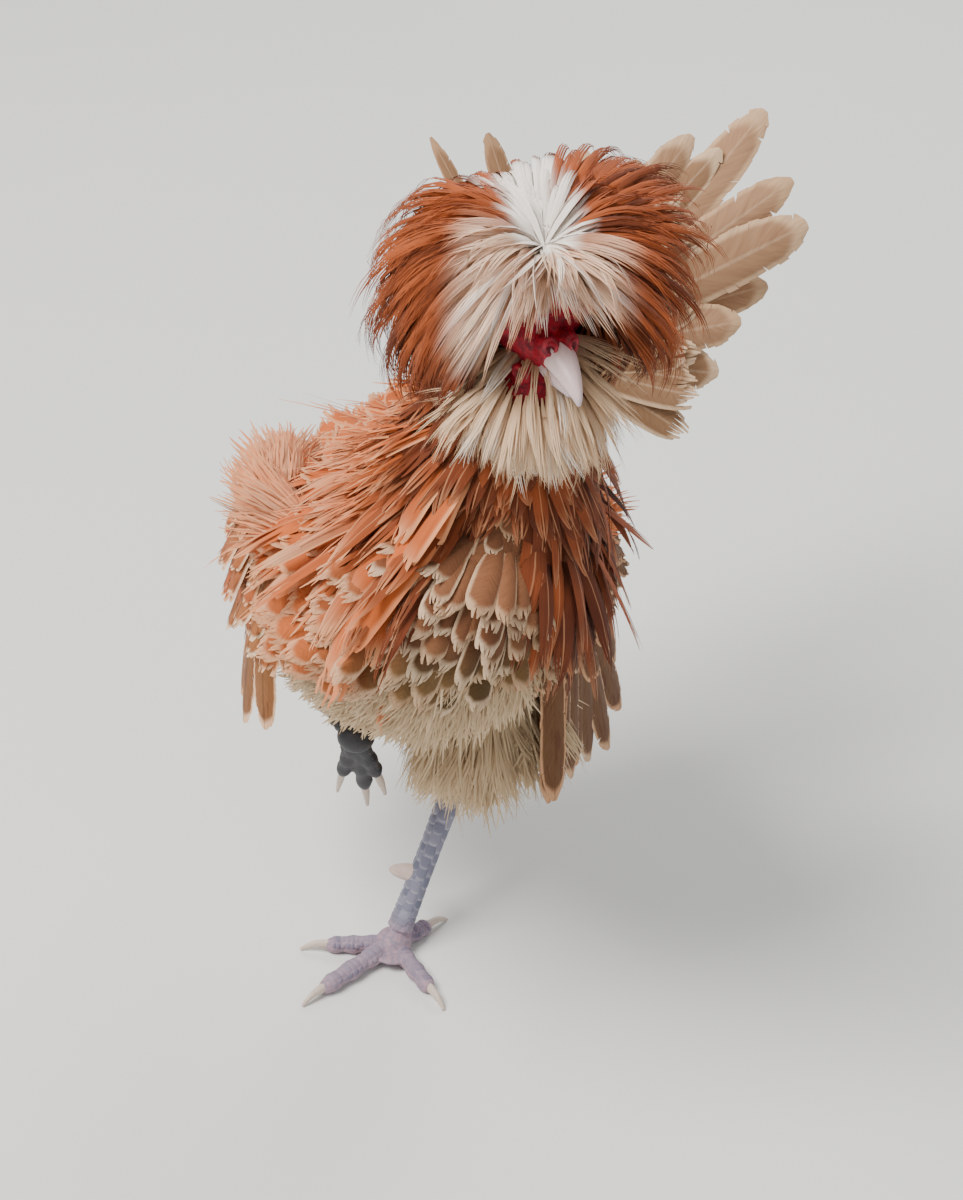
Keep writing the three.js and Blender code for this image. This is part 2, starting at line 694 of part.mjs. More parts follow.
// The quills are longest up to the bird's left, and short low on that side
const quillLength = (angle) =>
  102 +
  38 * bell(angle, rad(36), rad(20)) +
  6 * bell(angle, rad(-32), rad(12)) -
  26 * bell(angle, rad(84), rad(26));
feather("tail", [
  ...fanOf(12, -40, 84, -4, quillLength, 30, "quill"),
  ...fanOf(7, -50, 104, 9, () => 66, 28, "round"),
]);

// Feathers of the trunk, from the rump forwards. There are none under the thighs and wings.
const breastShape = { length: 44, width: 27, lift: 18, bend: 14 };
const breastRow = (t, count, from, to) => ({ ...breastShape, t, count, from, to });
const rumpShape = { from: 36, to: 144, length: 54, width: 25, lift: 15, bend: 12 };
const rumpRow = (t, count) => ({ ...rumpShape, t, count });
feather("torso", [
  ...coat(torso, [rumpRow(0.84, 4), rumpRow(0.71, 5), rumpRow(0.58, 5)], "round", 12),
  ...coat(
    torso,
    [
      breastRow(0.86, 4, 212, 328),
      breastRow(0.74, 5, 212, 328),
      breastRow(0.62, 5, 206, 334),
      breastRow(0.35, 6, 200, 340),
      breastRow(0.27, 6, 206, 334),
      breastRow(0.19, 6, 206, 334),
      breastRow(0.12, 5, 216, 324),
    ],
    "round",
    11,
  ),
]);

// The fluff of the thighs, from the hock upwards
for (const [side, leg] of Object.entries(legs)) {
  const whole = { from: 0, to: 360, width: 21, lift: 20, bend: 8 };
  const rows = leg.fluff.map(([t, count, length]) => ({ ...whole, t, count, length }));
  feather(`thigh_${side}`, coat(new Loft(leg.thigh, UP_AND_BACK), rows, "round", 21));
}

// The beard and muffs
const lock = { width: 14, lift: 30, bend: 20 };
const beardRow = (t, count, from, to, length) => ({ ...lock, t, count, from, to, length });
const beardLocks = coat(
  bib,
  [
    beardRow(0.86, 3, 225, 315, 22),
    beardRow(0.62, 5, 200, 340, 27),
    beardRow(0.36, 6, 186, 354, 29),
    beardRow(0.14, 2, 172, 196, 27),
    beardRow(0.14, 2, 344, 368, 27),
  ],
  "narrow",
  41,
);
// They radiate from the middle of the face
const faceMiddle = inHead(0, 4, 6);
for (const { seat } of beardLocks) {
  seat.along = seat.at.clone().sub(faceMiddle);
  seat.along.addScaledVector(seat.out, -seat.along.dot(seat.out)).normalize();
}
feather("beard", beardLocks);

// The hackle, raised like a cape that stands out furthest to both sides
const hackle = { width: 20, lift: 38, bend: 32 };
const hackleRow = (t, count, from, to, length) => ({ ...hackle, t, count, from, to, length });
feather(
  "neck",
  coat(
    neck,
    [
      hackleRow(0.72, 10, -38, 218, 94),
      hackleRow(0.6, 10, 0, 360, 80),
      hackleRow(0.44, 8, 0, 360, 64),
      hackleRow(0.27, 7, -40, 220, 50),
    ],
    "narrow",
    51,
    (angle) => ({
      length: 1 + 0.1 * rightness(angle) - 0.36 * Math.max(frontness(angle), 0),
      lift: 1 + 0.22 * Math.abs(rightness(angle)) + 0.1 * Math.max(frontness(angle), 0),
    }),
  ),
);

// The crest, which falls from its whorl to all sides, shortest over the face, and is parted at the back
const PARTING = rad(112);
const parted = (angle) => bell(angle, PARTING, rad(26));
const raised = (angle) => bell(angle, rad(60), rad(24)); // its left lobe stands highest
const plume = { width: 24, bend: 56 };
const crestRow = (t, count, from, to, length, lift) => ({ ...plume, t, count, from, to, length, lift });
feather(
  "crest",
  coat(
    crown,
    [
      crestRow(0.72, 7, -30, 210, 46, 26),
      crestRow(0.54, 10, 0, 360, 55, 28),
      crestRow(0.38, 10, 0, 360, 59, 31),
      crestRow(0.22, 8, 0, 360, 57, 36),
      crestRow(0.08, 6, 0, 360, 49, 42),
    ],
    "narrow",
    61,
    (angle) => ({
      length: 1 + 0.1 * rightness(angle) - 0.5 * Math.max(frontness(angle), 0),
      lift: 1 + 0.8 * Math.max(frontness(angle), 0) - 0.3 * parted(angle) + 0.25 * raised(angle),
    }),
  ),
);

for (const [name, { form, blades, color, roughness }] of parts) {
  const material = new THREE.MeshStandardMaterial({ color, roughness, metalness: 0 });
  const mesh = new THREE.Mesh(geometryOf(cut(wasm.Manifold.union([form, ...blades]), [])), material);
  mesh.name = name;
  bird.add(mesh);
}

export default bird;
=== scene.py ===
import math

import bmesh
import bpy
import numpy as np
from mathutils import Matrix, Vector


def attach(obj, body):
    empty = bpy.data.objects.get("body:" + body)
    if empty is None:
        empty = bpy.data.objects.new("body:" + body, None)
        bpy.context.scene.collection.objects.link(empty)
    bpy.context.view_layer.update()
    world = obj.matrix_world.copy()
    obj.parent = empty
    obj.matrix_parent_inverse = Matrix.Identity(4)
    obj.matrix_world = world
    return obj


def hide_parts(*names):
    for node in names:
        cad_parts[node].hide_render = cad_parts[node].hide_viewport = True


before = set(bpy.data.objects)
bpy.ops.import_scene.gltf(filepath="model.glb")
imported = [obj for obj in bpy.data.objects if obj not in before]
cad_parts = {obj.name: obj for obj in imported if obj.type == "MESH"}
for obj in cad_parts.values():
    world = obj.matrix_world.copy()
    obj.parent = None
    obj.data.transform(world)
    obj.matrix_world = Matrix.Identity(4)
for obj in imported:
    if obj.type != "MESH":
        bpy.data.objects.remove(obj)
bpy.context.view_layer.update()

# %% [markdown]
# # A bearded, crested rooster in mid stride
#
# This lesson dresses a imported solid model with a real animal's looks: one skin, and over it the
# feathers, tract by tract as on a bird. All shapes are worked out in millimetres and written to the
# meshes in metres. The solids stay the frame, so every piece goes where they say.

# %% Units and directions
MM = 0.001
print("nodes in the frame:", len(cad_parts))


def vec(x, y, z):
    return np.array([x, y, z], float)


def unit(vectors):
    return vectors / np.maximum(np.linalg.norm(vectors, axis=-1, keepdims=True), 1e-9)


# %% [markdown]
# ## Camera and light
#
# The photograph looks down on the bird from a standing person's height, a little from its left, with the
# picture turned by a few degrees. A camera is placed by its direction and distance from one target point.
# Two large soft lamps and a pale world give even studio light with a soft shadow on a pale floor.

# %% Camera
CAMERA_TARGET = vec(29.0, 0.0, 209.2)
CAMERA_DISTANCE = 1110.7
CAMERA_AZIMUTH = math.radians(6)
CAMERA_ELEVATION = math.radians(35)
CAMERA_ROLL = math.radians(4.5)
CAMERA_LENS = 78
SENSOR = 36  # along the picture's long side

back = vec(
    math.sin(CAMERA_AZIMUTH) * math.cos(CAMERA_ELEVATION),
    -math.cos(CAMERA_AZIMUTH) * math.cos(CAMERA_ELEVATION),
    math.sin(CAMERA_ELEVATION),
)
level_right = vec(math.cos(CAMERA_AZIMUTH), math.sin(CAMERA_AZIMUTH), 0)
level_up = np.cross(back, level_right)
right = level_right * math.cos(CAMERA_ROLL) + level_up * math.sin(CAMERA_ROLL)
up = np.cross(back, right)
camera = bpy.data.objects.new("camera", bpy.data.cameras.new("camera"))
bpy.context.scene.collection.objects.link(camera)
camera.matrix_world = Matrix.Translation(Vector((CAMERA_TARGET + back * CAMERA_DISTANCE) * MM)) @ Matrix(
    np.column_stack([right, up, back]).tolist()
).to_4x4()
camera.data.lens = CAMERA_LENS
camera.data.sensor_width = SENSOR
bpy.context.scene.camera = camera
print("camera at", [round(v, 3) for v in camera.location])


# %% Lamps, world and floor
def lamp(name, place, target, size, power, color):
    """A square area lamp that points from place at target, in metres."""
    light = bpy.data.lights.new(name, "AREA")
    light.size = size
    light.energy = power
    light.color = color
    item = bpy.data.objects.new(name, light)
    item.location = place
    item.rotation_euler = (Vector(target) - Vector(place)).to_track_quat("-Z", "Y").to_euler()
    bpy.context.scene.collection.objects.link(item)
    return item


BIRD_MIDDLE = (0.02, 0.0, 0.24)
lamp("key_lamp", (-1.0, -0.75, 2.0), BIRD_MIDDLE, 1.0, 82, (1.0, 0.975, 0.94))
lamp("fill_lamp", (1.6, -0.9, 1.1), BIRD_MIDDLE, 1.6, 8, (0.94, 0.97, 1.0))
lamp("back_lamp", (0.4, 1.6, 1.5), BIRD_MIDDLE, 1.0, 24, (1.0, 1.0, 1.0))

world = bpy.data.worlds.new("studio")
world.use_nodes = True
world.node_tree.nodes["Background"].inputs["Color"].default_value = (0.9, 0.91, 0.93, 1)
world.node_tree.nodes["Background"].inputs["Strength"].default_value = 0.42
bpy.context.scene.world = world


# %% [markdown]
# ## A small language for finishes
#
# Shader nodes are easier to read as arithmetic. One class wraps an output socket and overloads Python's
# operators, so an expression on values adds its Math nodes. Any other node comes from one method that sets
# the node's settings and its inputs. Colours are mixed by Mix nodes.


# %% Sockets as values
class Value:
    """An output socket that Python's arithmetic works on."""

    def __init__(self, finish, socket):
        self.finish = finish
        self.socket = socket

    def math(self, operation, *others, clamp=False):
        settings = {"operation": operation, "use_clamp": clamp}
        return self.finish.node("ShaderNodeMath", settings, dict(enumerate([self, *others])))

    def __add__(self, other):
        return self.math("ADD", other)

    def __sub__(self, other):
        return self.math("SUBTRACT", other)

    def __mul__(self, other):
        return self.math("MULTIPLY", other)

    def __truediv__(self, other):
        return self.math("DIVIDE", other)

    def __pow__(self, other):
        return self.math("POWER", other)

    def __neg__(self):
        return self.math("MULTIPLY", -1.0)

    def __rsub__(self, other):
        return (-self) + other

    __radd__ = __add__
    __rmul__ = __mul__

    def clamped(self):
        return self.math("ADD", 0.0, clamp=True)

    def band(self, low, high):
        """0 below low, 1 above high, and smooth between them. With low above high it falls instead."""
        settings = {"interpolation_type": "SMOOTHSTEP"}
        return self.finish.node("ShaderNodeMapRange", settings, {0: self, 1: low, 2: high, 3: 0.0, 4: 1.0})

    def part(self, name):
        """The X, Y or Z of a vector."""
        return self.finish.node("ShaderNodeSeparateXYZ", {}, {0: self}, name)


def linear(red, green, blue):
    """A colour as the eye reads it, from 0 to 255, as the linear colour that a shader needs."""
    shares = [channel / 255 for channel in (red, green, blue)]
    return tuple(s / 12.92 if s <= 0.04045 else ((s + 0.055) / 1.055) ** 2.4 for s in shares) + (1.0,)


class Finish:
    """One material. sockets sets the shader's own inputs, which are the same all over the surface."""

    def __init__(self, name, sockets):
        self.material = bpy.data.materials.new(name)
        self.material.use_nodes = True
        self.tree = self.material.node_tree
        self.shader = self.tree.nodes["Principled BSDF"]
        for key, value in sockets.items():
            self.shader.inputs[key].default_value = value

    def node(self, kind, settings, inputs, output=0):
        item = self.tree.nodes.new(kind)
        for key, value in settings.items():
            setattr(item, key, value)
        for key, value in inputs.items():
            if isinstance(value, Value):
                self.tree.links.new(value.socket, item.inputs[key])
            else:
                item.inputs[key].default_value = value
        return Value(self, item.outputs[output])

    def mix(self, factor, first, second):
        """first where factor is 0, second where it is 1. Both are colours."""
        settings = {"data_type": "RGBA", "clamp_factor": True}
        return self.node("ShaderNodeMix", settings, {0: factor, 6: first, 7: second}, 2)

    def place(self):
        """The point in the object's own coordinates, in metres."""
        return self.node("ShaderNodeTexCoord", {}, {}, "Object")

    def vector(self, x, y, z):
        return self.node("ShaderNodeCombineXYZ", {}, {0: x, 1: y, 2: z})

    def from_point(self, point):
        """How far a place on the surface is from a point, in millimetres."""
        apart = {"operation": "DISTANCE"}
        middle = tuple(float(v) * MM for v in point)
        return self.node("ShaderNodeVectorMath", apart, {0: self.place(), 1: middle}, "Value") * (1 / MM)

    def attribute(self, name):
        return self.node("ShaderNodeAttribute", {"attribute_name": name}, {}, "Vector")

    def noise(self, scale, detail=3.0, vector=None):
        inputs = {"Vector": vector or self.place(), "Scale": scale, "Detail": detail}
        return self.node("ShaderNodeTexNoise", {}, inputs, "Fac")

    def bump(self, height, distance, strength):
        inputs = {"Height": height, "Distance": distance, "Strength": strength}
        self.feed("Normal", self.node("ShaderNodeBump", {}, inputs))

    def feed(self, name, value):
        self.tree.links.new(value.socket, self.shader.inputs[name])


# %% Floor
floor_finish = Finish("pale_floor", {"Roughness": 0.9, "Specular IOR Level": 0.1})
floor_tint = floor_finish.mix(floor_finish.noise(3.0), linear(224, 225, 222), linear(232, 232, 229))
floor_finish.feed("Base Color", floor_tint)


def new_object(name, bm, finish):
    """Writes a bmesh in millimetres to a named object in metres, with smooth faces."""
    bmesh.ops.scale(bm, vec=(MM, MM, MM), verts=bm.verts)
    mesh = bpy.data.meshes.new(name)
    bm.to_mesh(mesh)
    bm.free()
    mesh.shade_smooth()
    mesh.materials.append(finish.material)
    item = bpy.data.objects.new(name, mesh)
    bpy.context.scene.collection.objects.link(item)
    return item


FLOOR_SIZE = 6000
floor_bm = bmesh.new()
bmesh.ops.create_grid(floor_bm, x_segments=1, y_segments=1, size=FLOOR_SIZE)
floor = new_object("floor", floor_bm, floor_finish)
print("floor is", FLOOR_SIZE * 2 * MM, "m wide")

# %% [markdown]
# ## Lofts: a spine with oval rings
#
# A neck, a trunk or a toe is a tube whose oval changes along a bent spine. A loft keeps the spine and
# the rings as two smooth curves. It gives a point of its skin for a place along the spine and an angle
# round it, and there the directions in which a feather grows: out of the skin, and along the coat.


# %% Lofts
def spline(points, t):
    """The points of a smooth curve through the given points, at places t from 0 to 1."""
    points = np.asarray(points, float)
    ends = np.vstack([2 * points[0] - points[1], points, 2 * points[-1] - points[-2]])
    place = np.clip(t, 0, 1) * (len(points) - 1)
    first = np.minimum(place.astype(int), len(points) - 2)
    w = (place - first)[..., None]
    a, b, c, d = (ends[first + k] for k in range(4))
    return 0.5 * (2 * b + (c - a) * w + (2 * a - 5 * b + 4 * c - d) * w**2 + (3 * b - a - 3 * c + d) * w**3)


class Loft:
    """Rings are [x, y, z, half width, height on the upper side, on the lower side]. The hint is the
    direction that the upper side keeps to, and 90 degrees round the loft is that side."""

    def __init__(self, rings, hint):
        rings = np.array([[*ring] for ring in rings], float)
        self.spine = rings[:, :3]
        self.sizes = rings[:, 3:]
        self.hint = unit(np.asarray(hint, float))

    def axes(self, t):
        """At each place, the directions along the spine, to the side and to the upper side."""
        step = 0.01
        ahead = spline(self.spine, np.minimum(t + step, 1))
        along = unit(ahead - spline(self.spine, np.maximum(t - step, 0)))
        side = unit(np.cross(along, self.hint))
        return along, side, np.cross(side, along)

    def point(self, t, angle, grow=0.0):
        """Points of the skin, or off it by grow."""
        t, angle = np.broadcast_arrays(np.asarray(t, float), np.asarray(angle, float))
        _, side, upper = self.axes(t)
        size = spline(self.sizes, t)
        height = np.where(np.sin(angle) > 0, size[..., 1], size[..., 2])
        across = ((size[..., 0] + grow) * np.cos(angle))[..., None] * side
        return spline(self.spine, t) + across + ((height + grow) * np.sin(angle))[..., None] * upper

    def seats(self, t, angle, grow=0.0):
        """Roots on the skin, their outward direction and the lie of the coat towards the loft's end."""
        step = 0.02
        at = self.point(t, angle, grow)
        ahead = self.point(np.minimum(t + step, 1), angle, grow)
        along = unit(ahead - self.point(np.maximum(t - step, 0), angle, grow))
        around = self.point(t, angle + step, grow) - self.point(t, angle - step, grow)
        out = unit(np.cross(around, along))
        inwards = np.sum(out * (at - spline(self.spine, t)), -1) < 0
        out[inwards] *= -1
        flat = np.column_stack([(angle / (2 * np.pi)) % 1, t])
        return {"at": at, "out": out, "along": along, "flat": flat}

    def holds(self, points, grow):
        """Which of the points lie inside the loft, grown a little or shrunk."""
        past_end = 6
        t = np.linspace(0, 1, 80)
        spine = spline(self.spine, t)
        nearest = np.argmin(((points[:, None] - spine[None]) ** 2).sum(-1), 1)
        along, side, upper = (axis[nearest] for axis in self.axes(t))
        size = spline(self.sizes, t)[nearest] + grow
        offset = points - spine[nearest]
        x, y, z = (np.sum(offset * axis, 1) for axis in (side, upper, along))
        height = np.where(y > 0, size[:, 1], size[:, 2])
        return ((x / size[:, 0]) ** 2 + (y / height) ** 2 < 1) & (np.abs(z) < past_end + grow)


def tube(loft, sides, rings, grow=0.0, swell=None):
    """A closed tube along a loft: a cylinder cut into rings, whose corners are moved onto the loft.
    swell(t, angle) may add to its radius."""
    bm = bmesh.new()
    bmesh.ops.create_cone(bm, cap_ends=True, cap_tris=True, segments=sides, radius1=1, radius2=1, depth=1)
    upright = [e for e in bm.edges if abs(e.verts[0].co.z - e.verts[1].co.z) > 0.5]
    bmesh.ops.subdivide_edges(bm, edges=upright, cuts=rings - 1, use_grid_fill=True)
    place = np.array([v.co for v in bm.verts])
    t = np.clip(0.5 - place[:, 2], 0, 1)
    angle = np.arctan2(place[:, 1], place[:, 0])
    on_rim = np.hypot(place[:, 0], place[:, 1]) > 0.5
    radius = grow + (swell(t, angle) if swell else 0.0)
    spot = np.where(on_rim[:, None], loft.point(t, angle, radius), spline(loft.spine, t))
    along = loft.axes(t)[0]
    spot += along * (grow * ((t > 0.999) * 1.0 - (t < 0.001) * 1.0))[:, None]
    for vertex, co in zip(bm.verts, spot):
        vertex.co = co
    bmesh.ops.recalc_face_normals(bm, faces=bm.faces)
    return bm


def ball(centre, size, turn, sides=24):
    """An oval ball, turned by a 3 by 3 matrix of its own directions."""
    bm = bmesh.new()
    bmesh.ops.create_uvsphere(bm, u_segments=sides, v_segments=sides // 2, radius=1)
    bmesh.ops.scale(bm, vec=size, verts=bm.verts)
    bmesh.ops.transform(bm, matrix=Matrix.Translation(centre) @ Matrix(turn).to_4x4(), verts=bm.verts)
    return bm


def joined(pieces):
    """One bmesh that holds several."""
    whole = bmesh.new()
    for piece in pieces:
        scrap = bpy.data.meshes.new("scrap")
        piece.to_mesh(scrap)
        piece.free()
        whole.from_mesh(scrap)
        bpy.data.meshes.remove(scrap)
    return whole


WORLD_UP = vec(0, 0, 1)
WORLD_BACK = vec(0, 1, 0)
UP_AND_BACK = unit(vec(0, 1, 1))
print("halfway along a straight spine:", spline([[0.0], [2.0]], np.array([0.5])))

# %% [markdown]
# ## The head's own directions
#
# The head is turned to the bird's left and a little down, so its parts are placed in its own directions:
# to the side, ahead along the beak, and above.

# %% Head directions and driving sizes
HEAD_CENTRE = vec(46, -76, 392)
HEAD_YAW = math.radians(33)
HEAD_PITCH = math.radians(-9)
BEAK_ROOT = 21
BEAK_LENGTH = 25
EYE_RADIUS = 4.6
EYE_SIDE = 14.2
SIDES = {"left": 1, "right": -1}

level = math.cos(HEAD_PITCH)
head_ahead = vec(math.sin(HEAD_YAW) * level, -math.cos(HEAD_YAW) * level, math.sin(HEAD_PITCH))
head_left = vec(math.cos(HEAD_YAW), math.sin(HEAD_YAW), 0)
head_up = np.cross(head_ahead, head_left)
head_turn = np.column_stack([-head_left, head_ahead, head_up]).tolist()


def in_head(side, ahead, above):
    return HEAD_CENTRE + head_left * side + head_ahead * ahead + head_up * above


def head_ring(ahead, above, *sizes):
    return [*in_head(0, ahead, above), *sizes]


# %% [markdown]
# ## The body's lofts
#
# These are the same spines and rings as the solids' cores, so the skin and every root sit where the frame
# says. The bird stands on its left leg, and the right one is lifted, with its toes hanging.

# %% Trunk, neck, head and limbs
skull = Loft(
    [
        head_ring(-19, -6, 7, 7, 7),
        head_ring(-12, -2, 14, 15, 15),
        head_ring(0, 0, 16.5, 16.5, 16),
        head_ring(10, -1, 13.5, 13, 13),
        head_ring(18, -3, 9.5, 9.5, 9),
        head_ring(BEAK_ROOT + 2, -4, 6, 6, 5.5),
    ],
    WORLD_UP,
)
torso = Loft(
    [
        [42, -60, 300, 20, 16, 20],
        [31, -62, 272, 38, 32, 34],
        [12, -46, 240, 53, 48, 50],
        [-4, -12, 214, 58, 56, 58],
        [-6, 28, 206, 56, 54, 56],
        [4, 68, 216, 46, 42, 44],
        [19, 101, 234, 29, 26, 28],
        [31, 124, 248, 13, 13, 13],
    ],
    UP_AND_BACK,
)
thighs = {
    "left": Loft(
        [
            [34, -6, 186, 26, 26, 28],
            [33, -2, 160, 28, 27, 29],
            [29, 9, 132, 20, 20, 22],
            [24, 24, 107, 13, 13, 14],
            [21, 36, 88, 8, 8, 8],
        ],
        UP_AND_BACK,
    ),
    "right": Loft(
        [
            [0, -26, 186, 24, 20, 22],
            [-5, 0, 170, 23, 20, 21],
            [-10, 28, 153, 17, 16, 16],
            [-12, 50, 140, 10, 10, 10],
            [-12, 64, 131, 7, 7, 7],
        ],
        UP_AND_BACK,
    ),
}
# Each ring of the wings: x on the left, x on the right, and what both have alike
WING_RINGS = [
    [48, -28, -54, 262, 5, 9, 9],
    [55, -48, -36, 254, 9, 18, 18],
    [60, -60, -4, 242, 11, 24, 26],
    [63, -63, 28, 226, 10, 22, 26],
    [63, -62, 52, 212, 7, 13, 16],
    [62, -60, 64, 204, 3, 5, 6],
]
wing_pads = {
    side: Loft([[ring[column], *ring[2:]] for ring in WING_RINGS], WORLD_UP)
    for column, side in enumerate(SIDES)
}
bib = Loft(
    [
        [*in_head(0, 3, -11), 19, 12, 10],
        [52, -88, 367, 24, 16, 14],
        [51, -86, 354, 20, 15, 13],
        [50, -82, 342, 11, 9, 8],
    ],
    WORLD_BACK,
)
neck = Loft(
    [
        [46, -73, 384, 13, 13, 12],
        [46, -70, 362, 17, 18, 17],
        [45, -64, 338, 21, 23, 20],
        [42, -58, 312, 26, 28, 25],
        [38, -54, 288, 30, 32, 30],
        [34, -50, 268, 24, 24, 24],
    ],
    WORLD_BACK,
)
crown = Loft(
    [
        [50, -85, 428, 9, 9, 7],
        [49, -82, 418, 22, 26, 18],
        [48, -76, 405, 28, 34, 21],
        [47, -72, 391, 25, 30, 15],
        [47, -72, 378, 18, 20, 10],
    ],
    WORLD_BACK,
)
tail_root = Loft(
    [
        [24, 108, 238, 12, 12, 12],
        [31, 124, 249, 13, 15, 15],
        [38, 136, 260, 13, 14, 16],
    ],
    WORLD_UP,
)

# %% Legs and toes
SHANK = 5.4  # radius at the shank's side
FOOT_PAD = 8.5
CLAW_LENGTH = 12
CLAW_HOOK = 3
CLAW_TIP = 0.8
FLAT = 0.3  # how far weight presses a toe's pads flat
LEG_HINT = vec(0.2, 0.1, 1)
# For each toe, where its flesh ends and its radius
LEGS = {
    "left": {
        "hock": vec(21, 37, 84),
        "ankle": vec(2, 4, 12),
        "pad": vec(0, 0, 6.4),
        "toes": {
            "inner": (vec(-31, -6, 4.2), 4.3),
            "middle": (vec(-27, -36, 4.2), 4.6),
            "outer": (vec(22, -25, 4.2), 4.3),
            "hind": (vec(14, 18, 4.2), 4.3),
        },
        "grounded": True,
        "medial": -1,
    },
    "right": {
        "hock": vec(-12, 68, 129),
        "ankle": vec(-20, 0, 135),
        "pad": vec(-21, -9, 133),
        "toes": {
            "inner": (vec(-12, 0, 106), 3.8),
            "middle": (vec(-18, 5, 94), 4.0),
            "outer": (vec(-28, 1, 103), 3.8),
            "hind": (vec(-34, 3, 133), 3.8),
        },
        "grounded": False,
        "medial": 1,
    },
}
# A toe's rings: share of its length, share of its radius, height of its underside off the ground
KNUCKLES = [(0, 1.1, 0.6), (0.16, 0.92, 0.9), (0.32, 1.0, 0.4), (0.46, 0.86, 0.9), (0.6, 1.02, -FLAT),
            (0.74, 0.84, 0.5), (0.88, 0.94, -FLAT), (1, 0.6, 1)]


def shank_loft(leg):
    way = leg["ankle"] - leg["hock"]
    rings = []
    for share, swell in ((0, 1.12), (0.12, 1.0), (0.5, 0.9), (0.88, 0.98), (1.0, 1.12)):
        deep = SHANK * 1.15 * swell
        rings.append([*(leg["hock"] + way * share), SHANK * swell, deep, deep])
    return Loft(rings, UP_AND_BACK)


def toe_loft(leg, end, radius):
    rings = []
    for share, swell, underside in KNUCKLES:
        size = radius * swell
        spot = leg["pad"] + (end - leg["pad"]) * share
        if leg["grounded"]:
            spot[2] = size + underside
        rings.append([*spot, size, size, size])
    return Loft(rings, LEG_HINT)


def claw_loft(leg, end, radius):
    out = unit(end - leg["pad"])
    rings = []
    # Each ring's way along the claw, its radius and, on the ground, its height
    for length, size, height in (
        (-5, radius * 0.5, radius),
        (1, radius * 0.5, 4.3),
        (CLAW_LENGTH * 0.45, 1.8, 4),
        (CLAW_LENGTH * 0.8, 1.2, 2.3),
        (CLAW_LENGTH, CLAW_TIP, CLAW_TIP - FLAT),
    ):
        spot = end + out * length
        if leg["grounded"]:
            spot[2] = height
        else:
            spot[2] -= CLAW_HOOK * (max(length, 0) / CLAW_LENGTH) ** 2
        rings.append([*spot, size * 0.85, size, size])
    return Loft(rings, LEG_HINT)


shanks = {side: shank_loft(leg) for side, leg in LEGS.items()}
toes = {
    side: {name: toe_loft(leg, *toe) for name, toe in leg["toes"].items()} for side, leg in LEGS.items()
}
claws = [claw_loft(leg, *toe) for leg in LEGS.values() for toe in leg["toes"].values()]
print("toes:", sum(len(foot) for foot in toes.values()))
print("trunk length from end to end:", round(float(np.linalg.norm(torso.spine[-1] - torso.spine[0]))), "mm")

# %% [markdown]
# ## The skin
#
# Under the feathers a bird has one skin from the face to the feet. Here the lofts of trunk, neck, skull,
# thighs and wings are tubes a little thinner than the solids' cores. A voxel remesh melts them into one
# closed skin with no seams, a smooth modifier rounds the joins, and a decimate thins what the coat hides.


# %% Colours as the eye reads them
MAHOGANY = linear(82, 38, 22)
CHESTNUT = linear(132, 66, 36)
COPPER = linear(176, 88, 44)
ORANGE = linear(208, 104, 50)
PEACH = linear(238, 174, 128)
CREAM = linear(234, 204, 170)
IVORY = linear(248, 240, 230)
BUFF = linear(212, 174, 136)
TAN = linear(152, 106, 66)
BROWN = linear(100, 66, 38)
BILL_SHADOW_OLIVE = linear(130, 116, 88)
CRIMSON = linear(166, 18, 42)
WINE = linear(98, 10, 30)
ROSE_HIGHLIGHT = linear(214, 112, 118)
HOLLOW_SHADE = linear(58, 8, 18)
LILAC = linear(156, 134, 148)
SLATE = linear(112, 112, 130)
LIFTED_FOOT_SHADE = linear(64, 64, 68)
WEB_PINK = linear(190, 146, 152)


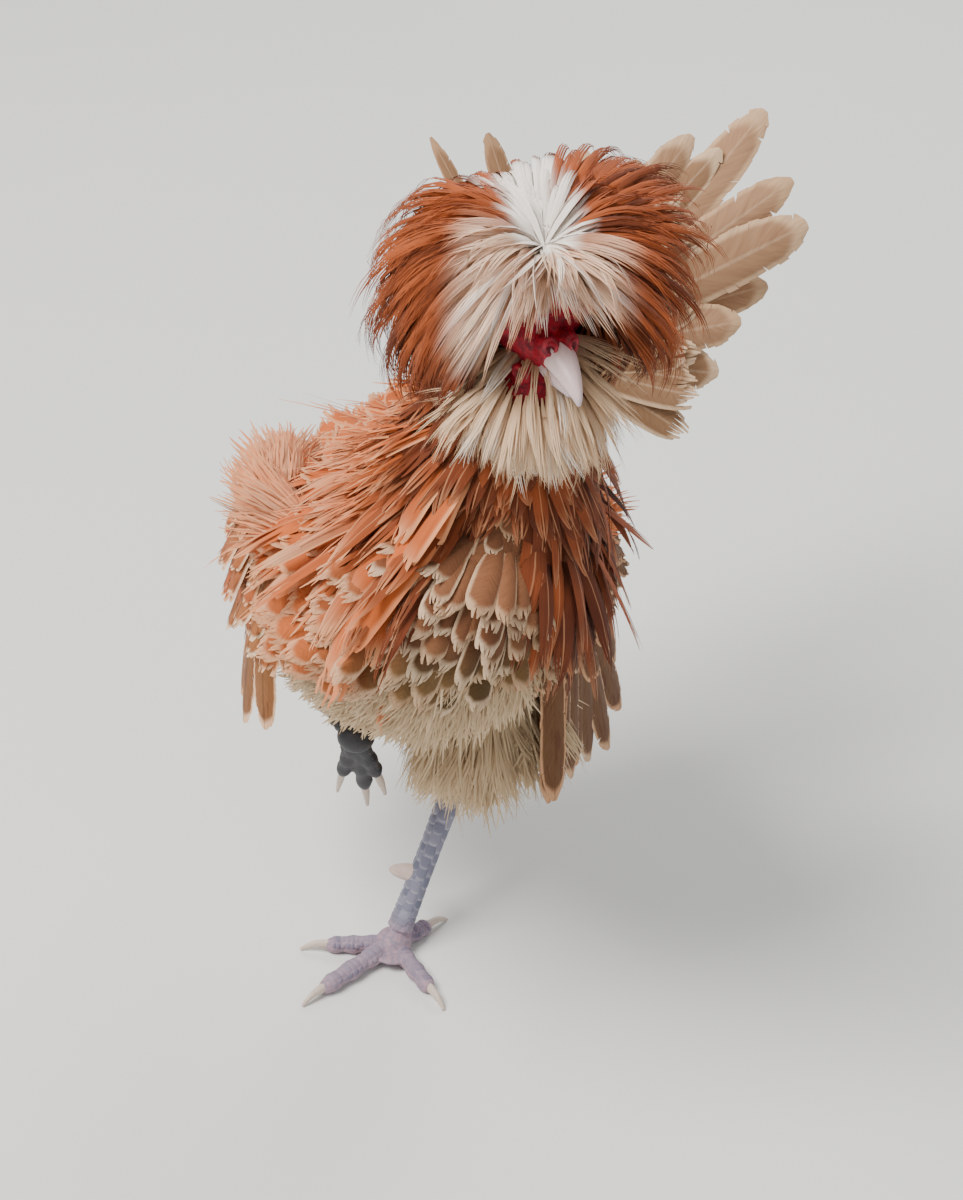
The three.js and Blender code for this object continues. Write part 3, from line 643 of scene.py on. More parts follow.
# %% The skin's finish
class Skin(Finish):
    """Crimson with painted shade and highlights on the face, the coat's colours under the coat, slate and
    lilac on the legs, and painted shade on the lifted foot.
    """

    def __init__(self):
        constants = {"Roughness": 0.55, "Specular IOR Level": 0.32, "Subsurface Weight": 0.1}
        super().__init__("skin", {**constants, "Subsurface Scale": 0.003})
        spot = self.place()
        x, y, z = (spot.part(k) * (1 / MM) for k in range(3))
        from_face = self.from_point((56, -92, 387))
        blotches = self.noise(420.0, 4.0)
        pebbles = self.node("ShaderNodeTexVoronoi", {}, {"Vector": spot, "Scale": 900.0}, "Distance")
        face = self.mix(blotches.band(0.35, 0.7), CRIMSON, WINE)
        # Painted light and shade: each pebble is paler at its middle and darker towards the creases
        face = self.mix(pebbles.band(0.5, 0.0) * 0.45, face, linear(204, 58, 70))
        for side in SIDES.values():
            # Painted highlight: a pale rose ring round each nostril's rim
            rim = self.from_point(nostril_place(side) + head_up * 1.2)
            face = self.mix(rim.band(1.6, 2.2) * rim.band(3.6, 2.8) * 0.2, face, ROSE_HIGHLIGHT)
            # Painted shade: dark inside each nostril and in each corner of the mouth
            nostril_shade = self.from_point(nostril_place(side)).band(2.0, 1.2)
            gape_shade = self.from_point(mouth_corner(side) + head_left * side * 2).band(2.6, 1.6)
            face = self.mix(nostril_shade.math("MAXIMUM", gape_shade) * 0.65, face, HOLLOW_SHADE)
        right = x.band(40, -60)
        coat = self.mix(right, self.mix(z.band(240, 300), BROWN, CHESTNUT), ORANGE)
        coat = self.mix(z.band(215, 165), coat, BUFF)
        coat = self.mix(z.band(335, 350), coat, BUFF)
        coat = self.mix(z.band(398, 408), coat, CHESTNUT)
        coat = self.mix(z.band(415, 420), coat, IVORY)
        body = self.mix(from_face.band(27, 23), coat, face)
        leg = self.mix(blotches.band(0.3, 0.7), SLATE, linear(150, 148, 166))
        foot = self.mix(blotches.band(0.3, 0.7), LILAC, self.mix(0.3, LILAC, WEB_PINK))
        grains = self.node("ShaderNodeTexVoronoi", {}, {"Vector": spot, "Scale": 480.0}, "Distance")
        foot = self.mix(grains.band(0.4, 0.75) * 0.5, foot, SLATE)
        # Painted shade: the lifted foot, above 88 mm, is painted dark grey
        bare = self.mix(z.band(88, 94), self.mix(z.band(24, 10), leg, foot), LIFTED_FOOT_SHADE)
        lifted = z.band(143, 137) * y.band(66, 60)
        lifted = lifted.math("MAXIMUM", z.band(152, 147) * y.band(16, 10)) * x.band(-4, -9)
        on_leg = z.band(92, 84).math("MAXIMUM", lifted)
        self.feed("Base Color", self.mix(on_leg, body, bare))
        relief = pebbles * 0.6 + self.noise(1500.0) * 0.4 - grains * z.band(28, 16)
        self.bump(relief, 0.0004, 0.5)


# %% Modifiers made real
def applied(item, modifiers):
    """Adds the modifiers, given as (kind, settings), and makes their result the object's own mesh."""
    for kind, settings in modifiers:
        modifier = item.modifiers.new(kind.lower(), kind)
        for key, value in settings.items():
            setattr(modifier, key, value)
    shaped = bpy.data.meshes.new_from_object(item.evaluated_get(bpy.context.evaluated_depsgraph_get()))
    shaped.name = item.data.name
    item.modifiers.clear()
    item.data = shaped
    item.data.shade_smooth()
    return item


def melted(voxel, rounds):
    """Modifiers that melt crossing forms into one closed skin and smooth it."""
    remesh = {"mode": "VOXEL", "voxel_size": voxel * MM}
    return [("REMESH", remesh), ("SMOOTH", {"factor": 0.5, "iterations": rounds})]


# %% Lids, comb, wattles and corners of the mouth
def band_round(centre, axis, radius, thickness):
    """A closed ring of round section about an axis, spun from a circle."""
    axis = Vector(axis)
    start = axis.orthogonal().normalized()
    bm = bmesh.new()
    circle = bmesh.ops.create_circle(bm, segments=12, radius=thickness)["verts"]
    turn = Matrix([start, axis, start.cross(axis)]).transposed().to_4x4()
    bmesh.ops.transform(bm, matrix=Matrix.Translation(start * radius) @ turn, verts=circle)
    whole = {"cent": (0, 0, 0), "axis": axis, "angle": 2 * math.pi}
    bmesh.ops.spin(bm, geom=bm.edges[:], steps=36, use_merge=True, **whole)
    bmesh.ops.remove_doubles(bm, verts=bm.verts, dist=1e-4)
    bmesh.ops.translate(bm, vec=centre, verts=bm.verts)
    bmesh.ops.recalc_face_normals(bm, faces=bm.faces)
    return bm


def eye_axis(side):
    """The way an eye looks: out to its side, a little ahead and up."""
    return unit(head_left * side + head_ahead * 0.22 + head_up * 0.12)


def comb_horn(side):
    rings = [
        [*in_head(side * 2.5, 14, 3), 3.6, 3.6, 3.6],
        [*in_head(side * 4, 14, 11), 2.7, 2.7, 2.7],
        [*in_head(side * 5.5, 12, 16), 1.3, 1.3, 1.3],
    ]
    return tube(Loft(rings, WORLD_BACK), 16, 12)


def nostril_place(side):
    return in_head(side * 4.6, BEAK_ROOT + 6.2, 4.6)


def nostril_way(side):
    """The way a nostril opens: ahead and out to its side."""
    return unit(head_ahead * 0.8 + head_left * side * 0.5 + head_up * 0.3)


def mouth_corner(side):
    return in_head(side * 7.8, BEAK_ROOT - 3.5, -11.5)


nose_cuff = Loft(
    [
        head_ring(BEAK_ROOT - 6, -1.6, 7.7, 6.8, 5.2),
        head_ring(BEAK_ROOT + 1, -1.2, 7.6, 6.6, 4.8),
        head_ring(BEAK_ROOT + 6.5, -1.2, 6.8, 6.2, 4.0),
    ],
    WORLD_UP,
)
face_forms = [tube(skull, 64, 60, -0.2)]
for side in SIDES.values():
    eye = in_head(side * EYE_SIDE, 3, 3)
    axis = eye_axis(side)
    face_forms.append(band_round(eye + axis * 2.4, axis, 4.3, 1.15))
    face_forms.append(band_round(eye + axis * 1.0, axis, 6.2, 1.3))
    face_forms.append(comb_horn(side))
    corner = mouth_corner(side)
    outwards = unit(head_left * side + head_ahead * 0.5 - head_up * 0.3)
    face_forms.append(ball(corner, (2.9, 3.9, 4.4), head_turn))
    face_forms.append(band_round(corner + outwards * 2.2, outwards, 3.2, 1.35))
    face_forms.append(ball(in_head(side * 4.0, BEAK_ROOT + 2.2, 3.8), (4.1, 5.2, 4.3), head_turn))
    face_forms.append(band_round(nostril_place(side), nostril_way(side), 2.1, 0.85))
face_forms.append(tube(nose_cuff, 40, 20))
print("forms on the face:", len(face_forms))

# %% One closed skin
SKIN_DEPTH = 2.6  # how far the skin lies inside the solids' cores
limbs = [*thighs.values(), *wing_pads.values()]
body_forms = [tube(loft, 40, 60, -SKIN_DEPTH) for loft in (torso, neck, *limbs)]
body_forms.append(tube(tail_root, 32, 16, -SKIN_DEPTH))
body_forms.append(tube(crown, 40, 30, -SKIN_DEPTH * 2))
body_forms.append(tube(bib, 40, 24, -SKIN_DEPTH * 2))
for side, leg in LEGS.items():
    body_forms.append(tube(shanks[side], 28, 30))
    body_forms.append(ball(leg["pad"], (FOOT_PAD, FOOT_PAD, FOOT_PAD * 0.8), Matrix.Identity(3), 28))
    body_forms.extend(tube(toe, 24, 36) for toe in toes[side].values())
    # The web between the middle and the outer toe
    middle, outer = (leg["toes"][name][0] for name in ("middle", "outer"))
    web = leg["pad"] * 0.72 + middle * 0.12 + outer * 0.16
    body_forms.append(ball(web, (9, 7, 1.6) if leg["grounded"] else (7, 1.6, 9), Matrix.Identity(3), 20))
skin_finish = Skin()
skin = new_object("skin", joined(face_forms + body_forms), skin_finish)
VOXEL = 0.75
FACE_REACH = 31  # from the head's centre to where the skin may be thinned
FOOT_REACH = 46  # the same from the lifted foot
LEG_TOP = 90  # the height of the standing leg's bare part
THINNING = 0.8  # the share of hidden faces that is left out
applied(skin, melted(VOXEL, 3))
spots = np.array([v.co for v in skin.data.vertices]) / MM
spots[:, 2] = np.maximum(spots[:, 2], 0.0)
NOSTRIL_DEPTH = 2.6
NOSTRIL_WIDTH = 1.35
for side in SIDES.values():
    offset = spots - nostril_place(side)
    deep = offset @ nostril_way(side)
    aside = np.linalg.norm(offset - deep[:, None] * nostril_way(side), axis=1)
    sunk = NOSTRIL_DEPTH * np.exp(-((aside / NOSTRIL_WIDTH) ** 2)) * (np.abs(deep) < 4)
    spots -= nostril_way(side) * sunk[:, None]
skin.data.vertices.foreach_set("co", (spots * MM).reshape(-1).astype(np.float32))
covered = np.linalg.norm(spots - in_head(0, 6, 0), axis=1) > FACE_REACH
covered &= (spots[:, 2] > LEG_TOP) & (np.linalg.norm(spots - LEGS["right"]["pad"], axis=1) > FOOT_REACH)
hidden = np.flatnonzero(covered)
skin.vertex_groups.new(name="hidden").add(hidden.tolist(), 1.0, "REPLACE")
thinned = 1 - THINNING * len(hidden) / len(spots)
applied(skin, [("DECIMATE", {"ratio": thinned, "vertex_group": "hidden"})])
skin.vertex_groups.clear()
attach(skin, "root")
bare_parts = ["head", "comb", "wattle_left", "wattle_right", "torso"]
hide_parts(*bare_parts, *[f"{part}_{side}" for part in ("shank", "foot") for side in SIDES])
print("skin faces:", len(skin.data.polygons))

# %% [markdown]
# ## How a feather is made
#
# A feather is a blade on a bent shaft, with its outer vane parted into barbs. One small grid is cut apart
# between the rows of its outer strips, and its loose ends are slanted towards the tip. That pattern is then
# repeated for every root at once, as an array: each copy is lifted off the skin, bent back, swayed, ruffled
# and widened in its own way, and all the copies of a tract are one joined mesh. Hair or instances would be
# quicker to set up, but a mesh is what a model keeps.


# %% Blade patterns
NEAR = 1e-4  # corners of a unit grid that lie closer than this are at one place


def vane_pattern(rows, columns, parted, slant, pinch):
    """A blade 1 long and 2 wide whose strips further out than parted are cut apart and slanted, as barbs.
    Returns along, across, looseness and strand for each corner, and the faces."""
    bm = bmesh.new()
    bmesh.ops.create_grid(bm, x_segments=columns, y_segments=rows, size=1)
    outer = parted + NEAR
    cuts = [
        edge
        for edge in bm.edges
        if abs(edge.verts[0].co.y - edge.verts[1].co.y) < NEAR
        and max(abs(v.co.x) for v in edge.verts) > outer
        and min(abs(v.co.x) for v in edge.verts) > parted - NEAR
        and abs(edge.verts[0].co.y) < 1 - NEAR
    ]
    bmesh.ops.split_edges(bm, edges=cuts)
    strand = {}
    for number, face in enumerate(bm.faces):
        middle = face.calc_center_median()
        for vertex in face.verts:
            if abs(vertex.co.x) > outer:
                share = (abs(vertex.co.x) - parted) / (1 - parted)
                pulled = middle.y + (vertex.co.y - middle.y) * (1 + (pinch - 1) * share)
                forward = pulled + slant * share * (1 - max(middle.y, 0) ** 2)
                strand[vertex.index] = (number + 1, share, min(forward, 1.0 - 0.06 * share))
    bm.verts.ensure_lookup_table()
    for index, (_, _, along) in strand.items():
        bm.verts[index].co.y = along
    loose = np.array([strand.get(v.index, (0, 0, 0))[1] for v in bm.verts])
    numbers = np.array([strand.get(v.index, (0, 0, 0))[0] for v in bm.verts])
    return as_pattern(bm, loose, numbers)


def lock_pattern(strands, rows, parted, taper, rounded):
    """A blade that is parted lengthwise, from the share parted to the tip, into tapering strands. The outer
    strands are shorter by rounded."""
    bm = bmesh.new()
    bmesh.ops.create_grid(bm, x_segments=strands, y_segments=rows, size=1)
    for vertex in bm.verts:  # rows lie closer together towards the tip
        vertex.co.y = 1 - 2 * ((1 - vertex.co.y) / 2) ** 1.35
    start = parted * 2 - 1
    cuts = [
        edge
        for edge in bm.edges
        if abs(edge.verts[0].co.x - edge.verts[1].co.x) < NEAR
        and abs(edge.verts[0].co.x) < 1 - NEAR
        and min(v.co.y for v in edge.verts) > start - NEAR
    ]
    bmesh.ops.split_edges(bm, edges=cuts)
    bm.verts.index_update()
    middles = {}
    for face in bm.faces:
        for vertex in face.verts:
            if vertex.co.y > start + NEAR:
                middles[vertex.index] = face.calc_center_median().x
    loose = np.zeros(len(bm.verts))
    numbers = np.zeros(len(bm.verts), int)
    bm.verts.ensure_lookup_table()
    for index, middle in middles.items():
        vertex = bm.verts[index]
        share = (vertex.co.y - start) / (1 - start)
        loose[index] = share
        numbers[index] = 1 + round((middle + 1) * strands / 2)
        vertex.co.x = middle + (vertex.co.x - middle) * (1 - taper * share**1.5)
        vertex.co.y = vertex.co.y - rounded * share * middle**2
    return as_pattern(bm, loose, numbers)


def as_pattern(bm, loose, strand):
    corners = np.array([v.co for v in bm.verts])
    faces = np.array([[v.index for v in face.verts] for face in bm.faces])
    bm.free()
    return corners[:, 1] / 2 + 0.5, corners[:, 0], loose, strand, faces


# Strands or rows and columns, where the blade parts, and how its strands taper or slant
PATTERNS = {
    "contour": lock_pattern(7, 9, 0.8, 0.1, 0.12),
    "quill": vane_pattern(24, 6, 0.66, 0.06, 1.0),
    "strap": lock_pattern(5, 9, 0.6, 0.35, 0.1),
    "lock": lock_pattern(4, 8, 0.3, 0.9, 0.3),
    "down": lock_pattern(6, 5, 0.2, 0.85, 0.3),
}
# Half the width from the root to the tip, as pairs of shares
OUTLINES = {
    "contour": [(0, 0.12), (0.15, 0.5), (0.4, 0.9), (0.65, 1), (0.82, 0.98), (0.9, 0.88), (0.96, 0.68),
                (1, 0.36)],
    "quill": [(0, 0.12), (0.1, 0.5), (0.35, 0.95), (0.78, 1), (0.9, 0.82), (0.96, 0.55), (1, 0.25)],
    "strap": [(0, 0.3), (0.2, 0.7), (0.5, 1), (0.75, 0.9), (0.9, 0.6), (1, 0.16)],
    "lock": [(0, 0.3), (0.1, 0.6), (0.35, 0.95), (0.6, 1), (0.85, 0.8), (1, 0.5)],
    "down": [(0, 0.2), (0.3, 0.6), (0.7, 1), (1, 1.1)],
}
for name, pattern in PATTERNS.items():
    print("pattern", name, "has", len(pattern[-1]), "faces")

# %% Growing a tract of feathers
DEGREE = math.pi / 180
TURNS = ("lift", "bend", "sway", "roll")
PATCH = 0.003  # the size of each feather's patch on its tract's unwrap
BEND_STEPS = 10
SINK = 2.0  # how deep a root runs into the skin
# How far a loose strand strays: along, as a share of the length, then aside and off, as shares of the width
STRAY = (0.05, 0.1, 0.09)
MOST_STRAY = 1.8  # the most that it strays, in spreads
triangles = {}


def feathers(random, count, cup, ruffle, **given):
    """A tract's sizes. Length and width are given as their middle and their spread as a share, and each
    turn as its middle and spread in degrees. A spread of 0 draws nothing."""
    sizes = {"cup": cup, "ruffle": ruffle}
    for key in ("length", "width", *TURNS):
        middle, spread = given[key]
        off = spread * random.normal(0, 1, count) if np.any(spread) else 0.0
        sizes[key] = (middle + off) * DEGREE if key in TURNS else middle * (1 + off)
    return sizes


def grow(name, kind, seats, sizes, finish, slot, seed, *replaced):
    """One joined mesh of feathers. seats holds their roots, and sizes one number or one per feather."""
    random = np.random.default_rng(seed)
    u, v, loose, strand, faces = PATTERNS[kind]
    count = len(seats["at"])
    size = {key: np.broadcast_to(np.asarray(value, float), (count,)) for key, value in sizes.items()}
    length, width, lift, bend, sway, roll = (size[key][:, None] for key in ("length", "width", *TURNS))
    forth = seats["along"] * np.cos(lift) + seats["out"] * np.sin(lift)
    face = unit(seats["out"] - forth * np.sum(seats["out"] * forth, 1, keepdims=True))
    aside = np.cross(forth, face)
    step = (length + SINK) / BEND_STEPS
    path = [seats["at"] - forth * SINK]
    ways = []
    for i in range(BEND_STEPS):
        turn = bend * (i + 0.5) / BEND_STEPS
        drift = sway * (i + 0.5) / BEND_STEPS
        way = unit(forth * np.cos(turn) * np.cos(drift) - face * np.sin(turn) + aside * np.sin(drift))
        ways.append(way)
        path.append(path[-1] + way * step)
    path = np.stack(path, 1)
    ways = np.stack([*ways, ways[-1]], 1)
    stray = np.clip(random.normal(0, 1, (3, count, strand.max() + 1)), -MOST_STRAY, MOST_STRAY)
    stray = stray[:, :, strand] * loose * size["ruffle"][:, None]
    place = (u[None] + STRAY[0] * stray[0]) * BEND_STEPS
    first = np.clip(place.astype(int), 0, BEND_STEPS - 1)
    rest = (place - first)[..., None]
    row = np.arange(count)[:, None]
    centre = path[row, first] * (1 - rest) + path[row, first + 1] * rest
    blend = np.clip(rest, 0, 1)
    tangent = unit(ways[row, first] * (1 - blend) + ways[row, first + 1] * blend)
    across = unit(np.cross(tangent, face[:, None]))
    normal = np.cross(across, tangent)
    roll = roll[:, None]
    across, normal = (
        across * np.cos(roll) - normal * np.sin(roll),
        normal * np.cos(roll) + across * np.sin(roll),
    )
    half = np.interp(u, *zip(*OUTLINES[kind]))[None] * width / 2
    aslant = (v[None] * half + STRAY[1] * stray[1] * width)[..., None]
    cup = -size["cup"][:, None] * half * v[None] ** 2
    puff = STRAY[2] * stray[2] * width
    points = centre + across * aslant + normal * (cup + puff)[..., None]
    triangles[name] = count * len(faces) * 2
    print(name, "has", count, "feathers and", triangles[name], "triangles")
    return write_copies(name, points, faces, (u, v), seats["flat"], random, finish, slot, *replaced)


def write_copies(name, points, faces, uv, flat, random, finish, slot, *replaced):
    """Joins the copies of one pattern in a mesh. points is copies by corners by 3, in millimetres."""
    u, v = uv
    count = len(points)
    mesh = bpy.data.meshes.new(name)
    mesh.vertices.add(count * len(u))
    mesh.vertices.foreach_set("co", (points.reshape(-1) * MM).astype(np.float32))
    corners = (faces[None] + (np.arange(count) * len(u))[:, None, None]).reshape(-1)
    mesh.loops.add(len(corners))
    mesh.loops.foreach_set("vertex_index", corners.astype(np.int32))
    mesh.polygons.add(count * len(faces))
    mesh.polygons.foreach_set("loop_start", (np.arange(count * len(faces)) * 4).astype(np.int32))
    mesh.update(calc_edges=True)
    barb = np.stack(np.broadcast_arrays(u[None], v[None], random.random((count, 1))), -1)
    carried = mesh.attributes.new("barb", "FLOAT_VECTOR", "POINT")
    carried.data.foreach_set("vector", barb.reshape(-1).astype(np.float32))
    patch = flat[:, None] + PATCH * np.stack([v / 2, u - 0.5], 1)[None]
    patch = np.clip(patch, PATCH, 1 - PATCH).reshape(-1, 2)[corners]
    mesh.uv_layers.new(name="OFBake").data.foreach_set("uv", patch.reshape(-1).astype(np.float32))
    mesh.shade_smooth()
    mesh.materials.append(finish.material)
    item = bpy.data.objects.new(name, mesh)
    bpy.context.scene.collection.objects.link(item)
    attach(item, "root")
    if replaced:
        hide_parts(*replaced)
    return item


# %% Rows of roots
RING_POINTS = 181
JITTER = 0.13  # how far a root may be off its even place, as a share of the gap


def length_of(path):
    """How far each point of a path lies along it."""
    return np.concatenate([[0], np.cumsum(np.linalg.norm(np.diff(path, axis=0), axis=1))])


def rooted(loft, t_from, t_to, row_gap, gap, seed, keep, span=(0, 360), inset=SKIN_DEPTH):
    """Roots in staggered rows over a loft, row_gap apart along it and gap apart round it, with angles in
    degrees. keep(t, angle) may leave some out. Returns the seats and their t and angle."""
    random = np.random.default_rng(seed)
    length = length_of(spline(loft.spine, np.linspace(t_from, t_to, 40)))[-1]
    rows = max(int(length / row_gap), 1)
    places = []
    for i in range(rows + 1):
        t = t_from + (t_to - t_from) * i / rows
        around = np.radians(np.linspace(*span, RING_POINTS))
        walked = length_of(loft.point(np.full(RING_POINTS, t), around))
        count = max(int(walked[-1] / gap), 3)
        spread = (np.arange(count) + 0.5 * (i % 2) + random.normal(0, JITTER, count)) / count * walked[-1]
        angle = np.interp(spread % walked[-1], walked, around)
        off = random.normal(0, JITTER, count) * (t_to - t_from) / rows
        places.append(np.column_stack([t + off, angle]))
    t, angle = np.vstack(places).T
    t = np.clip(t, 0.001, 0.999)
    if keep is not None:
        kept = keep(t, angle)
        t, angle = t[kept], angle[kept]
    return loft.seats(t, angle, -inset), t, angle


def picked(rows, mask):
    """The same seats or sizes with only the masked rows. A single value stays as it is."""
    return {key: value[mask] if np.ndim(value) else value for key, value in rows.items()}


def together(*sets):
    """Several sets of seats as one."""
    return {key: np.concatenate([one[key] for one in sets]) for key in sets[0]}


def rightness(angle):
    """How far a place round the neck, the crown or the bib is to the bird's right, from -1 to 1."""
    return -np.cos(angle)


def frontness(angle):
    """How far it is to the front."""
    return np.maximum(-np.sin(angle), 0)


def waves(seats, size, seed):
    """A smooth random field over the roots, about -1 to 1, so that neighbours lean alike."""
    random = np.random.default_rng(seed)
    total = 0
    for _ in range(4):
        way = unit(random.normal(0, 1, 3)) * 2 * np.pi / size
        total = total + np.sin(seats["at"] @ way + random.uniform(0, 2 * np.pi))
    return total / 2


def bell(angle, middle, spread):
    """1 at the middle angle and falling to 0 a few spreads away, all in radians."""
    off = (angle - middle + np.pi) % (2 * np.pi) - np.pi
    return np.exp(-((off / spread) ** 2))


# %% [markdown]
# ## The plumage's colours
#
# The bird is buff-laced: most feathers have a tan or chestnut ground and a paler edge, and the crest and
# hackle are streaked with copper and mahogany. Each tract has its own finish. It reads three numbers that
# every feather carries, its place from root to tip, its place across the vane and a number of its own, and
# the point on the bird, so that neighbours shade into one another.

# %% A feather's finish
class Plumage(Finish):
    """A soft, dull finish that knows where on its feather a point lies."""

    def __init__(self, name, grain_across=1.5, grain_along=36.0):
        super().__init__(name, {"Roughness": 0.8, "Specular IOR Level": 0.18, "Sheen Weight": 0.06})
        barb = self.attribute("barb")
        self.along, self.aslant, self.chance = (barb.part(k) for k in range(3))
        self.across = self.aslant.math("ABSOLUTE")
        spot = self.place()
        self.x, self.y, self.z = (spot.part(k) * (1 / MM) for k in range(3))
        # The grain's lines slant from the shaft towards the tip, as barbs do
        slanted = self.along * grain_along - self.across * grain_along * 0.14
        grain = self.vector(self.aslant * grain_across, slanted, self.chance * 40)
        self.barbs = self.noise(1.0, 2.0, grain)
        self.bump(self.barbs, 0.0006, 0.6)

    def laced(self, ground, edge, width, tip):
        """ground with a pale rim. width is its share of half the vane, and tip its share of the length."""
        rim = self.across.band(1 - width * 1.2, 1 - width * 0.4)
        tip = (self.along + self.across**2 * tip * 1.5).band(1 - tip * 2.0, 1 - tip * 0.7)
        return self.mix(rim.math("MAXIMUM", tip), ground, edge)

    def shafted(self, ground, shaft, strength=0.6):
        return self.mix(self.across.band(0.10, 0.03) * strength, ground, shaft)

    def done(self, color, depth=0.34):
        """Base colour with painted shade towards the root, by depth, and a little darker between the barbs.
        """
        shade = self.along.band(0.5, 0.0) * depth + (self.barbs - 0.4) * 1.2 + (self.chance - 0.5) * 0.2
        self.feed("Base Color", self.mix(shade, color, self.mix(0.5, color, MAHOGANY)))
        return self


# %% Finishes of the tracts
HAIRY = (5.0, 2.5)  # the grain of feathers whose barbs hang like hair, across and along them


def crest_plumage():
    f = Plumage("crest_plumage", *HAIRY)
    clump = f.noise(55.0, 2.0).band(0.35, 0.65)
    chestnut = f.mix(f.chance * 0.5 + clump * 0.5 + f.barbs * 0.5 - 0.25, CHESTNUT, COPPER)
    chestnut = f.mix((1 - f.chance).band(0.74, 0.95) * 0.8, chestnut, MAHOGANY)
    # Painted shade: darker towards the crest's lower rim, below 395 mm
    chestnut = f.mix(f.z.band(395, 355) * 0.45, chestnut, MAHOGANY)
    # A white streak runs 39 mm back and 14 mm aside, from the whorl to the notch between the lobes
    share = (((f.x - 50) * -14 + (f.y + 84) * 39) / (14**2 + 39**2)).clamped()
    aside = f.x - 50 + share * 14
    ahead = f.y + 84 - share * 39
    streak = (aside**2 + ahead**2).math("SQRT") + (f.chance - 0.5) * 8
    front = f.y.band(-84, -99) * (1 - (f.x - 52).math("ABSOLUTE").band(22, 38)) * f.z.band(368, 392)
    pale = f.mix(f.chance, CREAM, PEACH)
    pale = f.mix(f.chance.band(0.6, 0.9) * 0.6 + 0.22, pale, IVORY)
    pale = f.mix(f.chance.band(0.24, 0.1) * 0.55, pale, f.mix(f.along, TAN, COPPER))
    ground = f.mix(front * 0.95, chestnut, f.mix(f.along.band(0.75, 1.0) * 0.35, pale, COPPER))
    white = streak.band(17, 8) * f.z.band(392, 412)
    # Less painted shade at the roots in the white streak and the pale fringe
    return f.done(f.mix(white, ground, IVORY), 0.34 - white.math("MAXIMUM", front) * 0.26)


def hackle_plumage():
    f = Plumage("hackle_plumage", *HAIRY)
    # Painted light and shade: the copper and mahogany streaks are the hackle's own, but orange is painted
    # towards the bird's right, dark shades on the rest, and the peach tips stronger on the right
    right = f.x.band(16, -44)
    clump = f.noise(40.0, 2.0).band(0.35, 0.65)
    warm = f.mix(f.chance * 0.6 + clump * 0.4, COPPER, ORANGE)
    dark = f.mix(f.chance * 0.6 + clump * 0.4, MAHOGANY, f.mix(f.chance * 0.6, CHESTNUT, COPPER))
    ground = f.mix(right, dark, warm)
    tipped = f.mix(f.along.band(0.7, 0.98) * (right * 0.55 + 0.3) * f.chance.band(0.1, 0.5), ground, PEACH)
    return f.done(f.shafted(tipped, PEACH, 0.35))


def cape_plumage():
    f = Plumage("cape_plumage", *HAIRY)
    ground = f.mix(f.along.band(0.72, 1.0) * 0.6, f.mix(f.chance, ORANGE, COPPER), PEACH)
    # Painted light: paler peach and cream towards the bird's right
    ground = f.mix(f.x.band(-5, -50) * 0.5, ground, f.mix(f.chance * 0.6, PEACH, CREAM))
    return f.done(f.laced(ground, f.mix(f.chance * 0.6 + 0.2, ORANGE, PEACH), 0.24, 0.07))


def breast_plumage():
    f = Plumage("breast_plumage")
    ground = f.mix(f.chance, linear(80, 60, 34), linear(124, 94, 58))
    ground = f.mix(f.z.band(190, 160), ground, f.mix(f.chance, TAN, BUFF))
    high = f.z.band(238, 262)
    ground = f.mix(high, ground, f.mix(f.chance, linear(100, 62, 40), linear(142, 94, 64)))
    right = f.x.band(14, -40) * f.z.band(160, 220)
    ground = f.mix(right * 0.8, ground, f.mix(f.chance, COPPER, ORANGE))
    edge = f.mix(right * 0.7, f.mix(f.chance, CREAM, BUFF), PEACH)
    laced = f.laced(ground, f.mix(0.3, edge, ground), 0.24, 0.09)
    return f.done(f.mix(f.z.band(168, 140) * 0.9, laced, f.mix(f.chance, BUFF, CREAM)))


def back_plumage():
    f = Plumage("back_plumage")
    ground = f.mix(f.x.band(40, -40), f.mix(f.chance, CHESTNUT, TAN), f.mix(f.chance, COPPER, ORANGE))
    rim = f.mix(0.3, f.mix(f.chance, PEACH, BUFF), ground)
    return f.done(f.laced(ground, rim, 0.2, 0.05))


def fluff_plumage():
    f = Plumage("fluff_plumage", *HAIRY)
    return f.done(f.mix(f.chance * 0.6 + f.along * 0.4, linear(184, 156, 120), linear(222, 196, 160)))


def beard_plumage():
    f = Plumage("beard_plumage", *HAIRY)
    # Painted shadow: olive below the bill, at the top of the beard
    shadow_under_bill = (f.z.band(366, 380)) * (1 - (f.x - 56).math("ABSOLUTE").band(16, 30))
    ground = f.mix(f.chance * 0.7 + f.along * 0.3, BUFF, CREAM)
    ground = f.mix(f.chance.band(0.8, 0.95) * f.along, ground, IVORY)
    return f.done(f.mix(shadow_under_bill * 0.35, ground, BILL_SHADOW_OLIVE))


def wing_plumage():
    f = Plumage("wing_plumage")
    ground = f.mix(f.chance * 0.7 + f.x.band(0, -70) * 0.3, TAN, COPPER)
    ground = f.mix(f.z.band(205, 175) * 0.85, ground, f.mix(f.chance, BROWN, TAN))
    # Painted shade: on the left wing the ground is painted dark brown and the rims a duller tan
    ground = f.mix(f.x.band(20, 60) * 0.9, ground, linear(102, 72, 48))
    streaks = f.noise(1.0, 2.0, f.vector(f.aslant * 3, f.along * 5, f.chance * 40))
    ground = f.mix(streaks.band(0.5, 0.68) * 0.5, ground, MAHOGANY)
    rim = f.mix(f.x.band(20, 60) * 0.5, f.mix(f.chance, CREAM, PEACH), TAN)
    return f.done(f.shafted(f.laced(ground, rim, 0.18, 0.04), BROWN))


